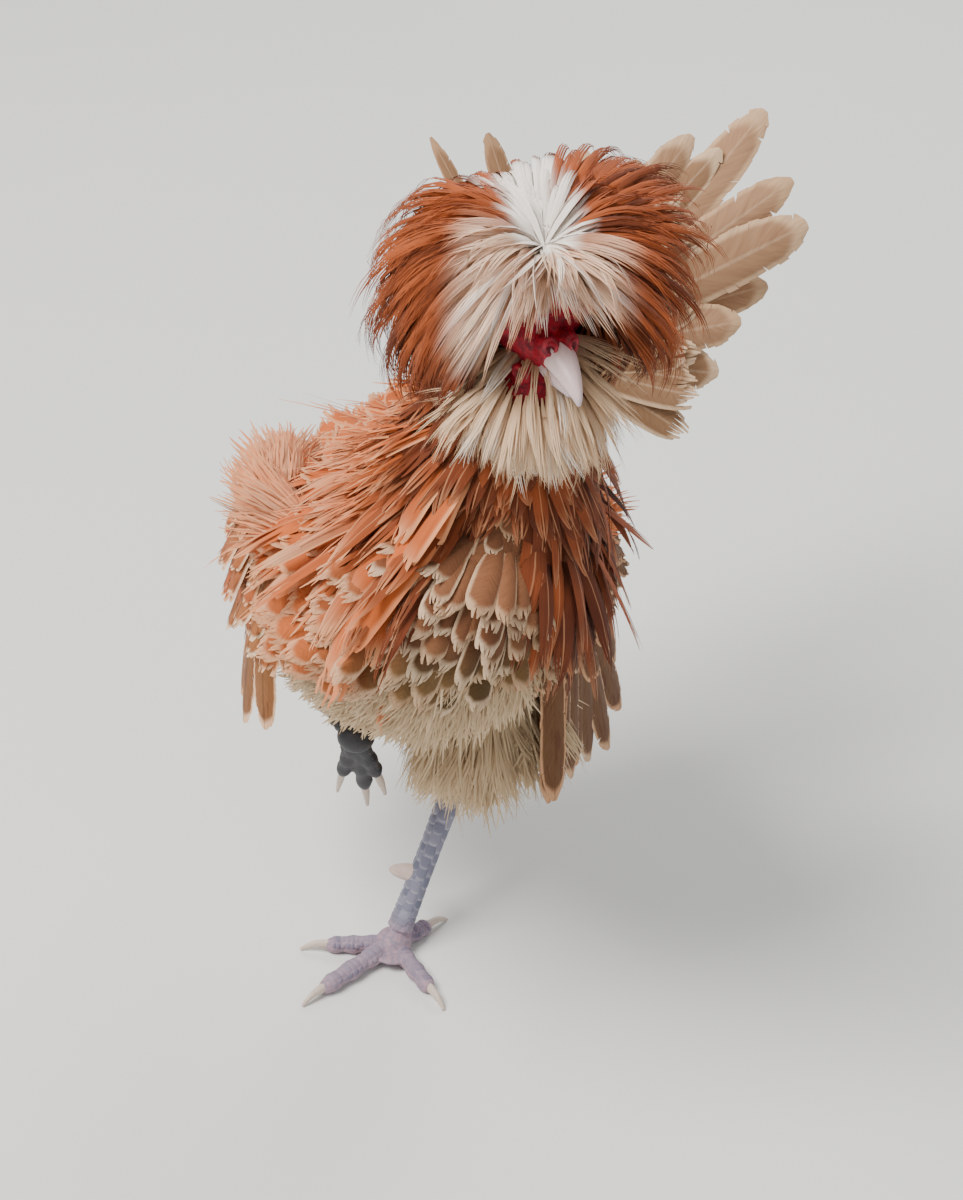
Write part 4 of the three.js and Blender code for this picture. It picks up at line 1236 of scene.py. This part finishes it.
def tail_plumage():
    f = Plumage("tail_plumage")
    ground = f.mix(f.chance * 0.7 + f.along * 0.3, linear(112, 82, 54), linear(176, 136, 104))
    behind = f.x.band(40, 0)
    rim = f.mix(behind * 0.5 + 0.2, f.mix(f.chance, CREAM, BUFF), TAN)
    return f.done(f.shafted(f.laced(ground, rim, 0.24, 0.045), f.mix(0.5, ground, CREAM), 0.4))


crest_finish = crest_plumage()
hackle_finish = hackle_plumage()
cape_finish = cape_plumage()
breast_finish = breast_plumage()
back_finish = back_plumage()
fluff_finish = fluff_plumage()
beard_finish = beard_plumage()
wing_finish = wing_plumage()
tail_finish = tail_plumage()
print("the crest's finish has", len(crest_finish.tree.nodes), "nodes")

# %% [markdown]
# ## The trunk's tracts
#
# Contour feathers grow in staggered rows and overlap like tiles. On the breast they are short, round and
# laced, and they give way to loose fluff at the belly, as on the thighs. Over the back and rump they are
# longer. Where a wing or a thigh lies on the trunk none are needed.

# %% Breast and belly
def bare_of(lofts, base, grow=-1.0):
    """A test for roots on base that don't lie inside any of the lofts."""

    def keep(t, angle):
        points = base.point(t, angle)
        return ~np.any([loft.holds(points, grow) for loft in lofts], axis=0)

    return keep


def belly_edge(x):
    """The height where the laced feathers give way to fluff, lower on the bird's right."""
    return np.interp(x, [-24, 24], [219, 240])


def by_foot(x):
    """1 over the lifted foot and 0 from the middle on, where the feathers are longer."""
    return np.clip((24 - x) / 24, 0, 1)


UNDERSIDE = (186, 354)  # degrees round the trunk
on_trunk = bare_of([*limbs, neck], torso)
random = np.random.default_rng(2)  # one stream feeds the tracts in turn, so their order matters
seats, t, _ = rooted(torso, 0.04, 0.94, 5.4, 5.8, 5, on_trunk, UNDERSIDE)
below_beard, neck_t, _ = rooted(neck, 0.46, 0.98, 4.2, 4.4, 8, bare_of([torso], neck, -3.0), (240, 304))
seats = together(seats, below_beard)
t = np.concatenate([t, 0.1 * neck_t])
on_throat = 1.0 * (np.arange(len(t)) >= len(t) - len(neck_t))
x, _, z = seats["at"].T
low = np.clip((belly_edge(x) + 20 - z) / 26, 0, 1)
shorter = 1 - (0.42 + 0.26 * by_foot(x)) * low - 0.3 * on_throat
sizes = feathers(
    random, len(t), cup=0.4, ruffle=0.5,
    length=(np.interp(t, [0, 0.35, 0.55, 1], [27, 38, 34, 34]) * shorter, 0.08),
    width=(9.5 + 5 * np.clip(t / 0.5, 0, 1) - 1.5 * on_throat, 0.1),
    lift=(22 - 8 * low * by_foot(x), 5), bend=(20, 7), sway=(7 * waves(seats, 30, 14), 6), roll=(0, 8),
)
laced = (z > belly_edge(x) + 5 * waves(seats, 22, 13)) | (on_throat > 0)
seats = picked(seats, laced)
sizes = picked(sizes, laced)
grow("breast_feathers", "contour", seats, sizes, breast_finish, "breast_plumage", 11)

fluffing = np.random.default_rng(3)
seats, _, _ = rooted(torso, 0.04, 0.9, 3.4, 3.6, 9, on_trunk, UNDERSIDE)
x, _, z = seats["at"].T
seats = picked(seats, z < belly_edge(x) + 6)
x = seats["at"][:, 0]
strands = fluffing.choice([0.6, 0.8, 1], len(x))
sizes = feathers(
    fluffing, len(x), cup=0.6, ruffle=1.9,
    length=(27 * strands * (1 - 0.5 * by_foot(x)), 0), width=(7.5, 0.2),
    lift=(26 + 6 * waves(seats, 20, 15), 6), bend=(22, 10),
    sway=(14 * waves(seats, 16, 16), 12), roll=(0, 20),
)
grow("belly_fluff", "down", seats, sizes, fluff_finish, "fluff_plumage", 14)

# %% Back and rump
seats, t, _ = rooted(torso, 0.08, 0.94, 7.2, 7.6, 6, on_trunk, (6, 174))
sizes = feathers(
    random, len(t), cup=0.5, ruffle=0.5,
    length=(42 + 12 * t, 0.08), width=(16.0, 0.08),
    lift=(17, 4), bend=(12, 6), sway=(0, 8), roll=(0, 8),
)
grow("back_feathers", "contour", seats, sizes, back_finish, "breast_plumage", 12)

# %% Thighs
for i, (side, thigh) in enumerate(thighs.items()):
    seats, t, _ = rooted(thigh, 0.12, 0.97, 2.7, 2.9, 20 + i, bare_of([torso], thigh, -4.0))
    strands = random.choice([0.6, 0.8, 1], len(t))
    sizes = feathers(
        random, len(t), cup=0.6, ruffle=1.9,
        length=(np.interp(t, [0.1, 0.5, 0.95], [40, 35, 27]) * strands, 0), width=(7.0, 0.2),
        lift=(28 + 6 * waves(seats, 20, 24), 6), bend=(22, 12),
        sway=(14 * waves(seats, 16, 26), 12), roll=(0, 20),
    )
    name = f"thigh_feathers_{side}"
    grow(name, "down", seats, sizes, fluff_finish, "fluff_plumage", 21 + i, f"thigh_{side}")

# %% [markdown]
# ## The hackle and the cape
#
# A rooster's neck hangs full of long, pointed feathers, which are raised here. They could be drawn as
# strands of hair, but each is broad enough to show its shaft and its edges, so each is a blade. Softer
# feathers and fluff close the ruffled edge of the cape on the bird's right.

# %% Hackle
def beside_throat(t, angle):
    """Leaves the throat's lower half to the breast's feathers."""
    free = (t < 0.5) | (bell(angle, 272 * DEGREE, 34 * DEGREE) < 0.5)
    return bare_of([bib], neck, -2.0)(t, angle) & free


seats, t, angle = rooted(neck, 0.10, 0.94, 4.0, 4.2, 31, beside_throat)
front = frontness(angle)
to_right = rightness(angle)
lean = waves(seats, 30, 33)
long = np.interp(t, [0, 0.27, 0.44, 0.6, 0.72, 1], [32, 50, 64, 80, 92, 74])
soft = np.clip(to_right, 0, 1)  # the bird's right side is ruffled up
throat = bell(angle, 272 * DEGREE, 36 * DEGREE)  # below the beard the breast begins early
sizes = feathers(
    random, len(t), cup=0.3, ruffle=0.8 + 0.3 * soft,
    length=(long * (1 + 0.1 * to_right - 0.34 * front - 0.3 * throat), 0.08),
    width=(6.0 + 3.5 * t + 3.5 * soft * t, 0.15),
    lift=(38 * (1 + 0.22 * to_right + 0.1 * front) + 6 * waves(seats, 22, 34), 4),
    bend=(34 + 10 * lean, 6), sway=(9 * lean, 6), roll=(0, 12),
)
grow("hackle_feathers", "strap", seats, sizes, hackle_finish, "hackle_plumage", 32, "neck")

# %% Soft edge of the cape
seats, t, _ = rooted(neck, 0.35, 0.95, 5.4, 5.6, 35, None, (150, 236))
sizes = feathers(
    random, len(t), cup=0.5, ruffle=0.8,
    length=(np.interp(t, [0.3, 0.72, 1], [46, 78, 70]), 0.12), width=(11.0, 0.15),
    lift=(46 + 5 * waves(seats, 24, 36), 5), bend=(40, 8), sway=(0, 10), roll=(0, 14),
)
grow("cape_feathers", "contour", seats, sizes, cape_finish, "hackle_plumage", 37)
seats, t, _ = rooted(neck, 0.3, 0.9, 3.9, 3.9, 38, None, (118, 200))
strands = random.choice([0.7, 0.85, 1], len(t))
sizes = feathers(
    random, len(t), cup=0.5, ruffle=1.9,
    length=(np.interp(t, [0.3, 0.72, 1], [42, 70, 64]) * strands, 0), width=(10.0, 0.15),
    lift=(62 + 6 * waves(seats, 24, 39), 6), bend=(34, 10), sway=(0, 12), roll=(0, 16),
)
grow("cape_fluff", "down", seats, sizes, cape_finish, "hackle_plumage", 40)

# %% [markdown]
# ## The crest and the beard
#
# The crest grows from a knob of the skull. Its feathers stand up, then bend over on all sides like a
# fountain, in two lobes with a notch behind. Their bend and lift come from smooth curves over the crown,
# so that neighbours fall together, and a whorl fills the middle. The beard is shorter and parts from the
# middle of the face.

# %% Crest
FACE_WAY = 294 * DEGREE  # the face's direction round the crown
GOLDEN_ANGLE = 2.39996
WHORL = 170  # feathers that stand on the crown's very top, in a spiral
WHORL_RADIUS = 9.5


def over_face(t, angle):
    """Leaves out the roots low over the face, which stays free."""
    return (t < 0.2) | (bell(angle, FACE_WAY, 46 * DEGREE) < 0.4)


seats, t, angle = rooted(crown, 0.03, 0.95, 1.75, 2.0, 41, over_face)
number = np.arange(WHORL)
top_angle = (number * GOLDEN_ANGLE) % (2 * np.pi)
radial = np.stack([np.cos(top_angle), np.sin(top_angle), 0 * top_angle], 1)
radius = WHORL_RADIUS * np.sqrt((number + 0.5) / WHORL)
top = {
    "at": crown.spine[0] + radial * radius[:, None] - vec(0, 0, SKIN_DEPTH),
    "out": np.tile(unit(vec(0.05, -0.15, 1)), (WHORL, 1)),
    "along": radial,
    "flat": np.column_stack([top_angle / (2 * np.pi), 0.003 * radius]),
}
steep = np.concatenate([0 * t, 20 * (1 - radius / WHORL_RADIUS)])
seats = together(seats, top)
t = np.concatenate([t, 0 * radius])
angle = np.concatenate([angle, top_angle])
on_top = 1.0 * (np.arange(len(t)) >= len(t) - WHORL)
to_right = rightness(angle)
to_face = bell(angle, FACE_WAY, 50 * DEGREE)
parted = bell(angle, 112 * DEGREE, 24 * DEGREE)  # the notch between the two lobes
raised = bell(angle, 55 * DEGREE, 30 * DEGREE) + 0.4 * bell(angle, 160 * DEGREE, 30 * DEGREE)
tiers = [0, 0.08, 0.22, 0.38, 0.54, 0.72, 0.95]
lift = np.interp(t, tiers, [40, 44, 46, 42, 37, 31, 22])
length = np.interp(t, tiers, [46, 55, 66, 68, 64, 58, 50])
lean = waves(seats, 26, 43)
right_side = np.clip(to_right, 0, 1)
left_side = np.clip(-to_right, 0, 1)
lobe = right_side * np.clip((t - 0.2) / 0.3, 0, 1)  # the right lobe hangs lowest
cut = 0.7 * np.interp(t, [0, 0.05, 0.16], [0.5, 0.75, 1]) * to_face  # and the fringe is short
turned_up = 1 + 0.35 * to_face * (1 - 2 * on_top) - 0.3 * parted + 0.3 * raised + 0.45 * lobe
sizes = feathers(
    random, len(t), cup=0.3, ruffle=0.85 + 0.5 * on_top,
    length=(length * (1 + 0.02 * to_right + 0.22 * lobe + 0.1 * left_side - cut), 0.08), width=(3.2, 0.2),
    lift=(lift * turned_up + 4 * waves(seats, 18, 44) + steep * (1 - to_face), 2),
    bend=(98 - 54 * to_face + 12 * right_side + 7 * lean, 5),
    sway=(10 * lean, 5 + 22 * on_top), roll=(0, 15 + 30 * on_top),
)
grow("crest_feathers", "lock", seats, sizes, crest_finish, "crest_plumage", 42, "crest")


# %% Beard and muffs
def beside_mouth(t, angle):
    """Keeps the corners of the mouth free, with an uneven edge."""
    points = bib.point(t, angle)
    gaps = [np.linalg.norm(points - mouth_corner(side), axis=1) for side in SIDES.values()]
    clear = np.min(gaps, axis=0) > 10 + 1.5 * np.sin(points[:, 0] * 2.3)
    return bare_of([neck], bib, -3.0)(t, angle) & clear


seats, t, _ = rooted(bib, 0.03, 0.99, 2.0, 2.1, 51, beside_mouth)
radial = seats["at"] - in_head(0, 4, 6)  # the beard's feathers part from the middle of the face
seats["along"] = unit(radial - seats["out"] * np.sum(radial * seats["out"], 1, keepdims=True))
sizes = feathers(
    random, len(t), cup=0.3, ruffle=1.5,
    length=(np.interp(t, [0, 0.35, 0.7, 1], [26, 26, 19, 14]), 0.12), width=(3.0, 0.2),
    lift=(28 + 6 * waves(seats, 14, 53), 4), bend=(24, 8),
    sway=(12 * waves(seats, 16, 54), 7), roll=(0, 18),
)
grow("beard_feathers", "lock", seats, sizes, beard_finish, "beard_plumage", 52, "beard")

# %% [markdown]
# ## The wings
#
# A wing's long quills hang in a row from its lower edge, and tiers of coverts lie over their roots like
# roof tiles. The bird lets both wings down, the right one further out.

# %% Quills and coverts
WING = {
    "left": {"outer": 0, "turn": -1, "spread": 0.05, "fan": 0.2, "fluff": 0.6, "reach": 1.0},
    "right": {"outer": 180, "turn": 1, "spread": 0.06, "fan": 0.22, "fluff": 0.7, "reach": 0.88},
}
SHINGLE = 11  # degrees by which vanes that overlap are turned, like a blind's slats
QUILLS = 17
# For each tier: count, share of the pad, angle below its middle, length, width, lift
COVERTS = [
    (13, 0.86, 42, 50, 15, 12),
    (13, 0.88, 24, 47, 15, 17),
    (13, 0.88, 6, 43, 14.5, 23),
    (13, 0.88, -12, 39, 14, 28),
    (12, 0.86, -30, 35, 13.5, 33),
    (11, 0.84, -50, 32, 13, 36),
    (10, 0.82, -70, 30, 13, 38),
]


def hanging(pad, wing, share, below, first=0.3):
    """Roots on a wing's pad whose feathers hang down, and further back the nearer the wing's end."""
    angle = (wing["outer"] + wing["turn"] * below) * DEGREE * np.ones_like(share)
    t = first + (0.93 - first) * share
    seats = pad.seats(t, angle)
    ones = np.ones_like(share)
    outwards = wing["spread"] + wing["fan"] * share
    seats["along"] = unit(np.stack([-wing["turn"] * outwards, -0.1 + 0.9 * share, -ones], 1))
    leaning = np.sum(seats["out"] * seats["along"], 1, keepdims=True)
    seats["out"] = unit(seats["out"] - seats["along"] * leaning)
    return seats


for i, (side, wing) in enumerate(WING.items()):
    pad = wing_pads[side]
    turn = wing["turn"]
    share = np.linspace(0, 1, QUILLS)
    seats = hanging(pad, wing, share, 60)
    sizes = feathers(
        random, QUILLS, cup=0.25, ruffle=0.1,
        length=(wing["reach"] * (72 + 46 * np.sin((30 + 105 * share) * DEGREE)), 0.015),
        width=(12.5 + 6 * share, 0), lift=(3 * wing["fluff"], 3), bend=(10, 4), sway=(0, 3),
        roll=(turn * (SHINGLE - 34 * (1 - share) ** 4), 4),
    )
    grow(f"wing_quills_{side}", "quill", seats, sizes, wing_finish, "wing_plumage", 61 + i, f"wing_{side}")
    tiers = []
    measures = []
    for tier, (count, reach, below, *measure) in enumerate(COVERTS):
        share = reach * (np.arange(count) + 0.5 * (tier % 2)) / count
        tiers.append(hanging(pad, wing, share, below, 0.04))
        measures.append(np.tile(measure, (count, 1)))
    seats = together(*tiers)
    length, width, lift = np.vstack(measures).T
    sizes = feathers(
        random, len(length), cup=0.45, ruffle=0.4,
        length=(length, 0.06), width=(width, 0.06),
        lift=(lift * wing["fluff"], 3), bend=(14, 5), sway=(0, 5), roll=(turn * SHINGLE, 4),
    )
    grow(f"wing_coverts_{side}", "contour", seats, sizes, wing_finish, "wing_plumage", 65 + i)
    seats, t, _ = rooted(pad, 0.02, 0.9, 3.6, 3.8, 67 + i, None, (15, 165))
    strands = random.choice([0.75, 0.9, 1.05], len(t))
    sizes = feathers(
        random, len(t), cup=0.4, ruffle=1.6,
        length=(30 * strands, 0), width=(9.0, 0.15),
        lift=(34, 8), bend=(24, 8), sway=(0, 12), roll=(0, 14),
    )
    grow(f"scapulars_{side}", "down", seats, sizes, cape_finish, "wing_plumage", 68 + i)

# %% [markdown]
# ## The tail
#
# The tail is a fan of long quills on one root, swung to the bird's left, with shorter coverts before and
# behind it. Each quill lies a little in front of the last, as a hand of cards does.

# %% Fan and coverts
FAN_CENTRE = vec(36, 133, 257)
fan_up = unit(vec(0.1, 0.45, 0.88))
fan_face = unit(np.cross(vec(0.95, 0.3, -0.1), fan_up))
fan_side = np.cross(fan_up, fan_face)


def fan(count, spread, ahead, layer):
    """Roots of a fan's feathers and their angles. spread is the angles from its middle, in degrees."""
    angle = np.linspace(*spread, count) * DEGREE
    along = fan_up * np.cos(angle)[:, None] + fan_side * np.sin(angle)[:, None]
    depth = ahead + (np.arange(count) - (count - 1) / 2) * layer
    at = FAN_CENTRE + fan_face * depth[:, None] + along * 6
    flat = np.stack([(angle + 2) / 5, 0.3 + depth / 60], 1)
    out = np.broadcast_to(fan_face, at.shape).copy()
    return {"at": at, "out": out, "along": along, "flat": flat}, angle


seats, angle = fan(16, (-40, 84), -4, 0.95)
# The longest stand a little to the left of the fan's middle, and the shortest at its left end
tall = bell(angle, 38 * DEGREE, 20 * DEGREE)
edge = bell(angle, -32 * DEGREE, 12 * DEGREE)
length = 106 + 34 * tall + 6 * edge - 26 * bell(angle, 84 * DEGREE, 26 * DEGREE)
slim = np.linspace(1, 0, len(angle)) ** 1.5  # the quills behind the crest are narrow
showing = np.ones(len(angle))
showing[:7] = [1.12, 0.84, 1.02, 0.84, 0.82, 0.84, 0.9]  # only two of them look over it
sizes = feathers(
    random, len(angle), cup=0.3, ruffle=0.12,
    length=(length * (1 - 0.17 * slim) * showing, 0.06), width=(24.0 - 16 * slim, 0.08),
    lift=(3, 3), bend=(12, 6), sway=(0, 6), roll=(-SHINGLE * 0.8, 8),
)
grow("tail_quills", "quill", seats, sizes, tail_finish, "tail_plumage", 71, "tail")
COVER_COUNT = 20
front_seats, _ = fan(COVER_COUNT, (-50, 104), 9, 0.35)
back_seats, _ = fan(COVER_COUNT, (-50, 104), -12, 0.35)
seats = together(front_seats, back_seats)
sizes = feathers(
    random, 2 * COVER_COUNT, cup=0.4, ruffle=0.4,
    length=(np.repeat([66, 58], COVER_COUNT), 0.1), width=(17.0, 0),
    lift=(3, 4), bend=(10, 6), sway=(0, 7), roll=(-SHINGLE, 5),
)
grow("tail_coverts", "contour", seats, sizes, tail_finish, "tail_plumage", 72)

# %% [markdown]
# ## The bill, the eyes and the horny parts
#
# A bill is horn over bone, and its upper half hooks over the lower one. Behind it open two raised,
# cavernous nostrils, which show in crested breeds. The eye is a ball with a sunk iris under a clear,
# domed cornea. Claws and spurs are smooth curved cones. Each is a tube along its own loft.

# %% Horn
horn_constants = {"Roughness": 0.34, "Specular IOR Level": 0.45, "Subsurface Weight": 0.15}
horn_finish = Finish("horn", {**horn_constants, "Subsurface Scale": 0.003})
streaks = horn_finish.noise(900.0, 4.0)
lower = horn_finish.place().part("Z").band(0.384, 0.374)
horn_tint = horn_finish.mix(streaks, linear(226, 200, 196), linear(208, 184, 184))
horn_finish.feed("Base Color", horn_finish.mix(lower * 0.75, horn_tint, linear(158, 156, 172)))
horn_finish.bump(horn_finish.noise(1400.0), 0.0002, 0.3)

upper_beak = Loft(
    [
        head_ring(BEAK_ROOT - 4, -1, 7, 6, 4),
        head_ring(BEAK_ROOT + 6, -1, 6.4, 6, 3.5),
        head_ring(BEAK_ROOT + 15, -2.4, 4.4, 4.4, 2.2),
        head_ring(BEAK_ROOT + 22, -5, 2.2, 2.6, 1.6),
        head_ring(BEAK_ROOT + BEAK_LENGTH, -7.5, 0.7, 0.8, 0.8),
    ],
    WORLD_UP,
)
lower_beak = Loft(
    [
        head_ring(BEAK_ROOT - 4, -8, 5, 4, 3),
        head_ring(BEAK_ROOT + 6, -8, 4.6, 4, 3),
        head_ring(BEAK_ROOT + 13, -7.6, 3, 3, 2.4),
        head_ring(BEAK_ROOT + 18, -8.2, 1.2, 1, 1),
    ],
    WORLD_UP,
)


def ridge(t, angle):
    """The culmen: the upper half is keeled along its top and pressed in at its sides."""
    return 0.5 * np.exp(-(((angle - math.pi / 2) / 0.5) ** 2)) * (1 - t)


HORN_VOXEL = 0.42
bill_upper = new_object("bill_upper", tube(upper_beak, 36, 48, 0.0, ridge), horn_finish)
bill_lower = new_object("bill_lower", tube(lower_beak, 32, 40), horn_finish)
for item, node in ((bill_upper, "beak_upper"), (bill_lower, "beak_lower")):
    applied(item, melted(HORN_VOXEL, 4))
    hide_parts(node)
    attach(item, "root")
    print(item.name, "has", len(item.data.polygons), "faces")

# %% Claws and spurs
def grained(name, roughness, shine, grain, pale, dark):
    """A plain finish that goes from one tint to another in a fine grain."""
    finish = Finish(name, {"Roughness": roughness, "Specular IOR Level": shine})
    finish.feed("Base Color", finish.mix(finish.noise(grain), linear(*pale), linear(*dark)))
    return finish


claw_finish = grained("claw", 0.4, 0.4, 700.0, (214, 198, 182), (188, 168, 156))
claw_set = new_object("claws", joined([tube(claw, 20, 22) for claw in claws]), claw_finish)
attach(claw_set, "root")
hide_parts(*[f"claw_{side}_{toe}" for side, leg in LEGS.items() for toe in leg["toes"]])

SPUR_PLACE = 0.65  # its way down the shank
SPUR_LENGTH = 15
spur_finish = grained("spur", 0.5, 0.35, 500.0, (224, 202, 188), (190, 164, 158))
spurs = []
for leg in LEGS.values():
    base = leg["hock"] + (leg["ankle"] - leg["hock"]) * SPUR_PLACE
    rings = []
    for share, size in ((0, 4.6), (0.55, 3.9), (0.85, 2.6), (1, 0.9)):
        spot = base + vec(leg["medial"] * SPUR_LENGTH * share, 1.5 * share, -share)
        rings.append([*spot, size, size, size])
    spurs.append(tube(Loft(rings, UP_AND_BACK), 24, 20))
spur_set = new_object("spurs", joined(spurs), spur_finish)
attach(spur_set, "root")
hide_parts("spur_left", "spur_right")
print("claws and spurs:", len(claws), "and", len(spurs))

# %% Eyes
IRIS = 0.74  # the iris's share of the eye's radius
PUPIL = 0.34  # and the pupil's
eye_finish = Finish("eyeball", {"Roughness": 0.25, "Specular IOR Level": 0.5})
ring = eye_finish.attribute("ring").part("X")
iris_tint = eye_finish.mix(eye_finish.noise(2500.0), linear(196, 92, 40), linear(150, 60, 30))
iris_tint = eye_finish.mix(ring.band(IRIS - 0.1, IRIS), iris_tint, linear(60, 30, 24))
in_pupil = ring.band(PUPIL + 0.03, PUPIL - 0.02)
eye_finish.feed("Base Color", eye_finish.mix(in_pupil, iris_tint, linear(12, 9, 8)))
clear = {"Base Color": (1, 1, 1, 1), "Roughness": 0.04, "IOR": 1.376}
cornea_finish = Finish("cornea", {**clear, "Transmission Weight": 1.0, "Coat Weight": 0.4})


def eye_forms(side):
    """An eyeball whose front is sunk to a flat iris with a hole of a pupil, and the clear dome over it."""
    centre = in_head(side * EYE_SIDE, 3, 3)
    axis = eye_axis(side)
    turn = Vector((0, 0, 1)).rotation_difference(Vector(axis)).to_matrix()
    eyeball = ball((0, 0, 0), (EYE_RADIUS,) * 3, Matrix.Identity(3), 48)
    rings = []
    for vertex in eyeball.verts:
        share = math.hypot(vertex.co.x, vertex.co.y) / EYE_RADIUS
        rings.append(share if vertex.co.z > 0 else 1.0)
        if vertex.co.z > 0 and share < IRIS:
            level = EYE_RADIUS * math.sqrt(1 - IRIS**2)
            vertex.co.z = level - (0.5 if share < PUPIL else 0.0)
    place = Matrix.Translation(centre) @ turn.to_4x4()
    bmesh.ops.transform(eyeball, matrix=place, verts=eyeball.verts)
    dome = ball((0, 0, 0), (EYE_RADIUS + 0.12,) * 3, Matrix.Identity(3), 48)
    cut = [v for v in dome.verts if v.co.z < EYE_RADIUS * 0.45]
    bmesh.ops.delete(dome, geom=cut, context="VERTS")
    bmesh.ops.transform(dome, matrix=place, verts=dome.verts)
    return eyeball, dome, rings


for name, side in SIDES.items():
    eyeball, dome, rings = eye_forms(side)
    item = new_object(f"eyeball_{name}", eyeball, eye_finish)
    values = np.zeros((len(rings), 3), np.float32)
    values[:, 0] = rings
    item.data.attributes.new("ring", "FLOAT_VECTOR", "POINT").data.foreach_set("vector", values.reshape(-1))
    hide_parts(f"eye_{name}")
    cornea = new_object(f"cornea_{name}", dome, cornea_finish)
    for piece in (item, cornea):
        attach(piece, "root")
print("eyes:", len(SIDES))

# %% [markdown]
# ## Scales
#
# The shank and the toes wear overlapping plates, large in front and small behind. Each plate is a small
# patch of the leg's own surface, domed, and sunk at its rim. They are laid in rows like the feathers.

# %% Plates on shanks and toes
SCUTE_ROWS = 4
SCUTE_COLUMNS = 6


def scute_points(loft, t, step, middle, half, thickness):
    """Copies of one domed plate over a loft, each from t on, as copies by corners by 3."""
    across, along = np.meshgrid(np.linspace(-1, 1, SCUTE_COLUMNS + 1), np.linspace(0, 1, SCUTE_ROWS + 1))
    across, along = across.ravel(), along.ravel()
    rim = (np.abs(across) > 0.99) | (along < 0.01) | (along > 0.99)
    dome = np.where(rim, -0.35, thickness * (0.35 + 0.65 * along) * (1 - 0.4 * across**2))
    places = t[:, None] + step * 1.3 * (along - 0.18 * across**2 * along)[None]
    angle = middle[:, None] + half[:, None] * (across * (1 - 0.22 * along**3))[None]
    sunk = 0.9 * np.clip((places - 0.84) / 0.16, 0, 1)  # the last plates dip into the skin
    return loft.point(np.clip(places, 0, 1), angle, dome[None] - sunk), (along, across)


def scute_faces():
    wide = SCUTE_COLUMNS + 1
    corners = [(r * wide + c) for r in range(SCUTE_ROWS) for c in range(SCUTE_COLUMNS)]
    return np.array([[k, k + 1, k + wide + 1, k + wide] for k in corners])


def scaled(name, lofts, bands, thickness, finish, slot, seed):
    """One joined mesh of plates. Each band has its middle and half width in degrees round the loft, and
    its number of rows."""
    random = np.random.default_rng(seed)
    points = []
    flats = []
    for number, (loft, t_from, t_to) in enumerate(lofts):
        for i, (middle, half, rows) in enumerate(bands):
            step = (t_to - t_from) / rows
            t = t_from + step * (np.arange(rows) + 0.5 * (i % 2)) + random.normal(0, 0.06, rows) * step
            middles = (middle + random.normal(0, 2.5, rows)) * DEGREE
            halves = np.full(rows, half * DEGREE)
            copies, pattern = scute_points(loft, t, step, middles, halves, thickness)
            points.append(copies)
            around = (middles / (2 * np.pi)) % 1 * 0.1 + 0.11 * number + 0.02
            flats.append(np.column_stack([around, t * 0.9 + 0.05]))
    points = np.vstack(points)
    write_copies(name, points, scute_faces(), pattern, np.vstack(flats), random, finish, slot)
    print(name, "has", len(points), "plates")


def leg_scales():
    """Slate on the shank, lilac on the foot and painted shade in dark grey on the lifted one, each plate
    paler at its end.
    """
    f = Plumage("leg_scales", 2.0, 6.0)
    f.shader.inputs["Roughness"].default_value = 0.55
    f.shader.inputs["Sheen Weight"].default_value = 0.0
    slate = f.mix(f.chance, linear(104, 106, 124), linear(146, 144, 160))
    slate = f.mix(f.along.band(0.62, 1.0) * 0.6, slate, linear(196, 192, 198))
    lilac = f.mix(f.chance, linear(156, 138, 152), linear(124, 116, 136))
    # Painted shade: the lifted foot's plates are painted dark grey
    lifted_foot_shading = f.mix(f.chance, linear(66, 66, 70), linear(92, 90, 94))
    ground = f.mix(f.z.band(24, 10), slate, lilac)
    f.feed("Base Color", f.mix(f.z.band(88, 94), ground, lifted_foot_shading))
    return f


# Middle and half width of each band in degrees round the leg, and its rows
SHANK_BANDS = [(-62, 36, 15), (-118, 36, 15), (-12, 22, 19), (-168, 22, 19), (35, 22, 21), (80, 24, 21),
               (130, 24, 21)]
TOE_BANDS = [(90, 50, 12), (30, 24, 12), (150, 24, 12)]
scale_finish = leg_scales()
all_shanks = [(shank, 0.3, 0.99) for shank in shanks.values()]
all_toes = [(toe, 0.1, 0.96) for foot in toes.values() for toe in foot.values()]
scaled("shank_scales", all_shanks, SHANK_BANDS, 0.45, scale_finish, "leg_scales", 81)
scaled("toe_scales", all_toes, TOE_BANDS, 0.4, scale_finish, "toe_scales", 82)

# %% [markdown]
# ## Small feathers of the face
#
# Behind the bare face the cheeks and the nape carry the smallest feathers of all. They lie close and lead
# over into the crest and the beard.

# %% Face feathers
def beside_face(t, angle):
    """Leaves the bare face, the eyes and the bill free."""
    points = skull.point(t, angle) - HEAD_CENTRE
    ahead = points @ head_ahead
    above = points @ head_up
    return (ahead < -3) & (above < 12) | (ahead < 9) & (above < -9)


seats, t, _ = rooted(skull, 0.05, 0.75, 2.2, 2.4, 91, beside_face, inset=0.2)
seats["along"] = -seats["along"]
random = np.random.default_rng(9)
sizes = feathers(
    random, len(t), cup=0.3, ruffle=1.0,
    length=(8.5, 0.15), width=(2.8, 0.12), lift=(24, 6), bend=(22, 0), sway=(0, 10), roll=(0, 12),
)
grow("face_feathers", "down", seats, sizes, beard_finish, "beard_plumage", 92)
print("triangles of feathers:", sum(triangles.values()))
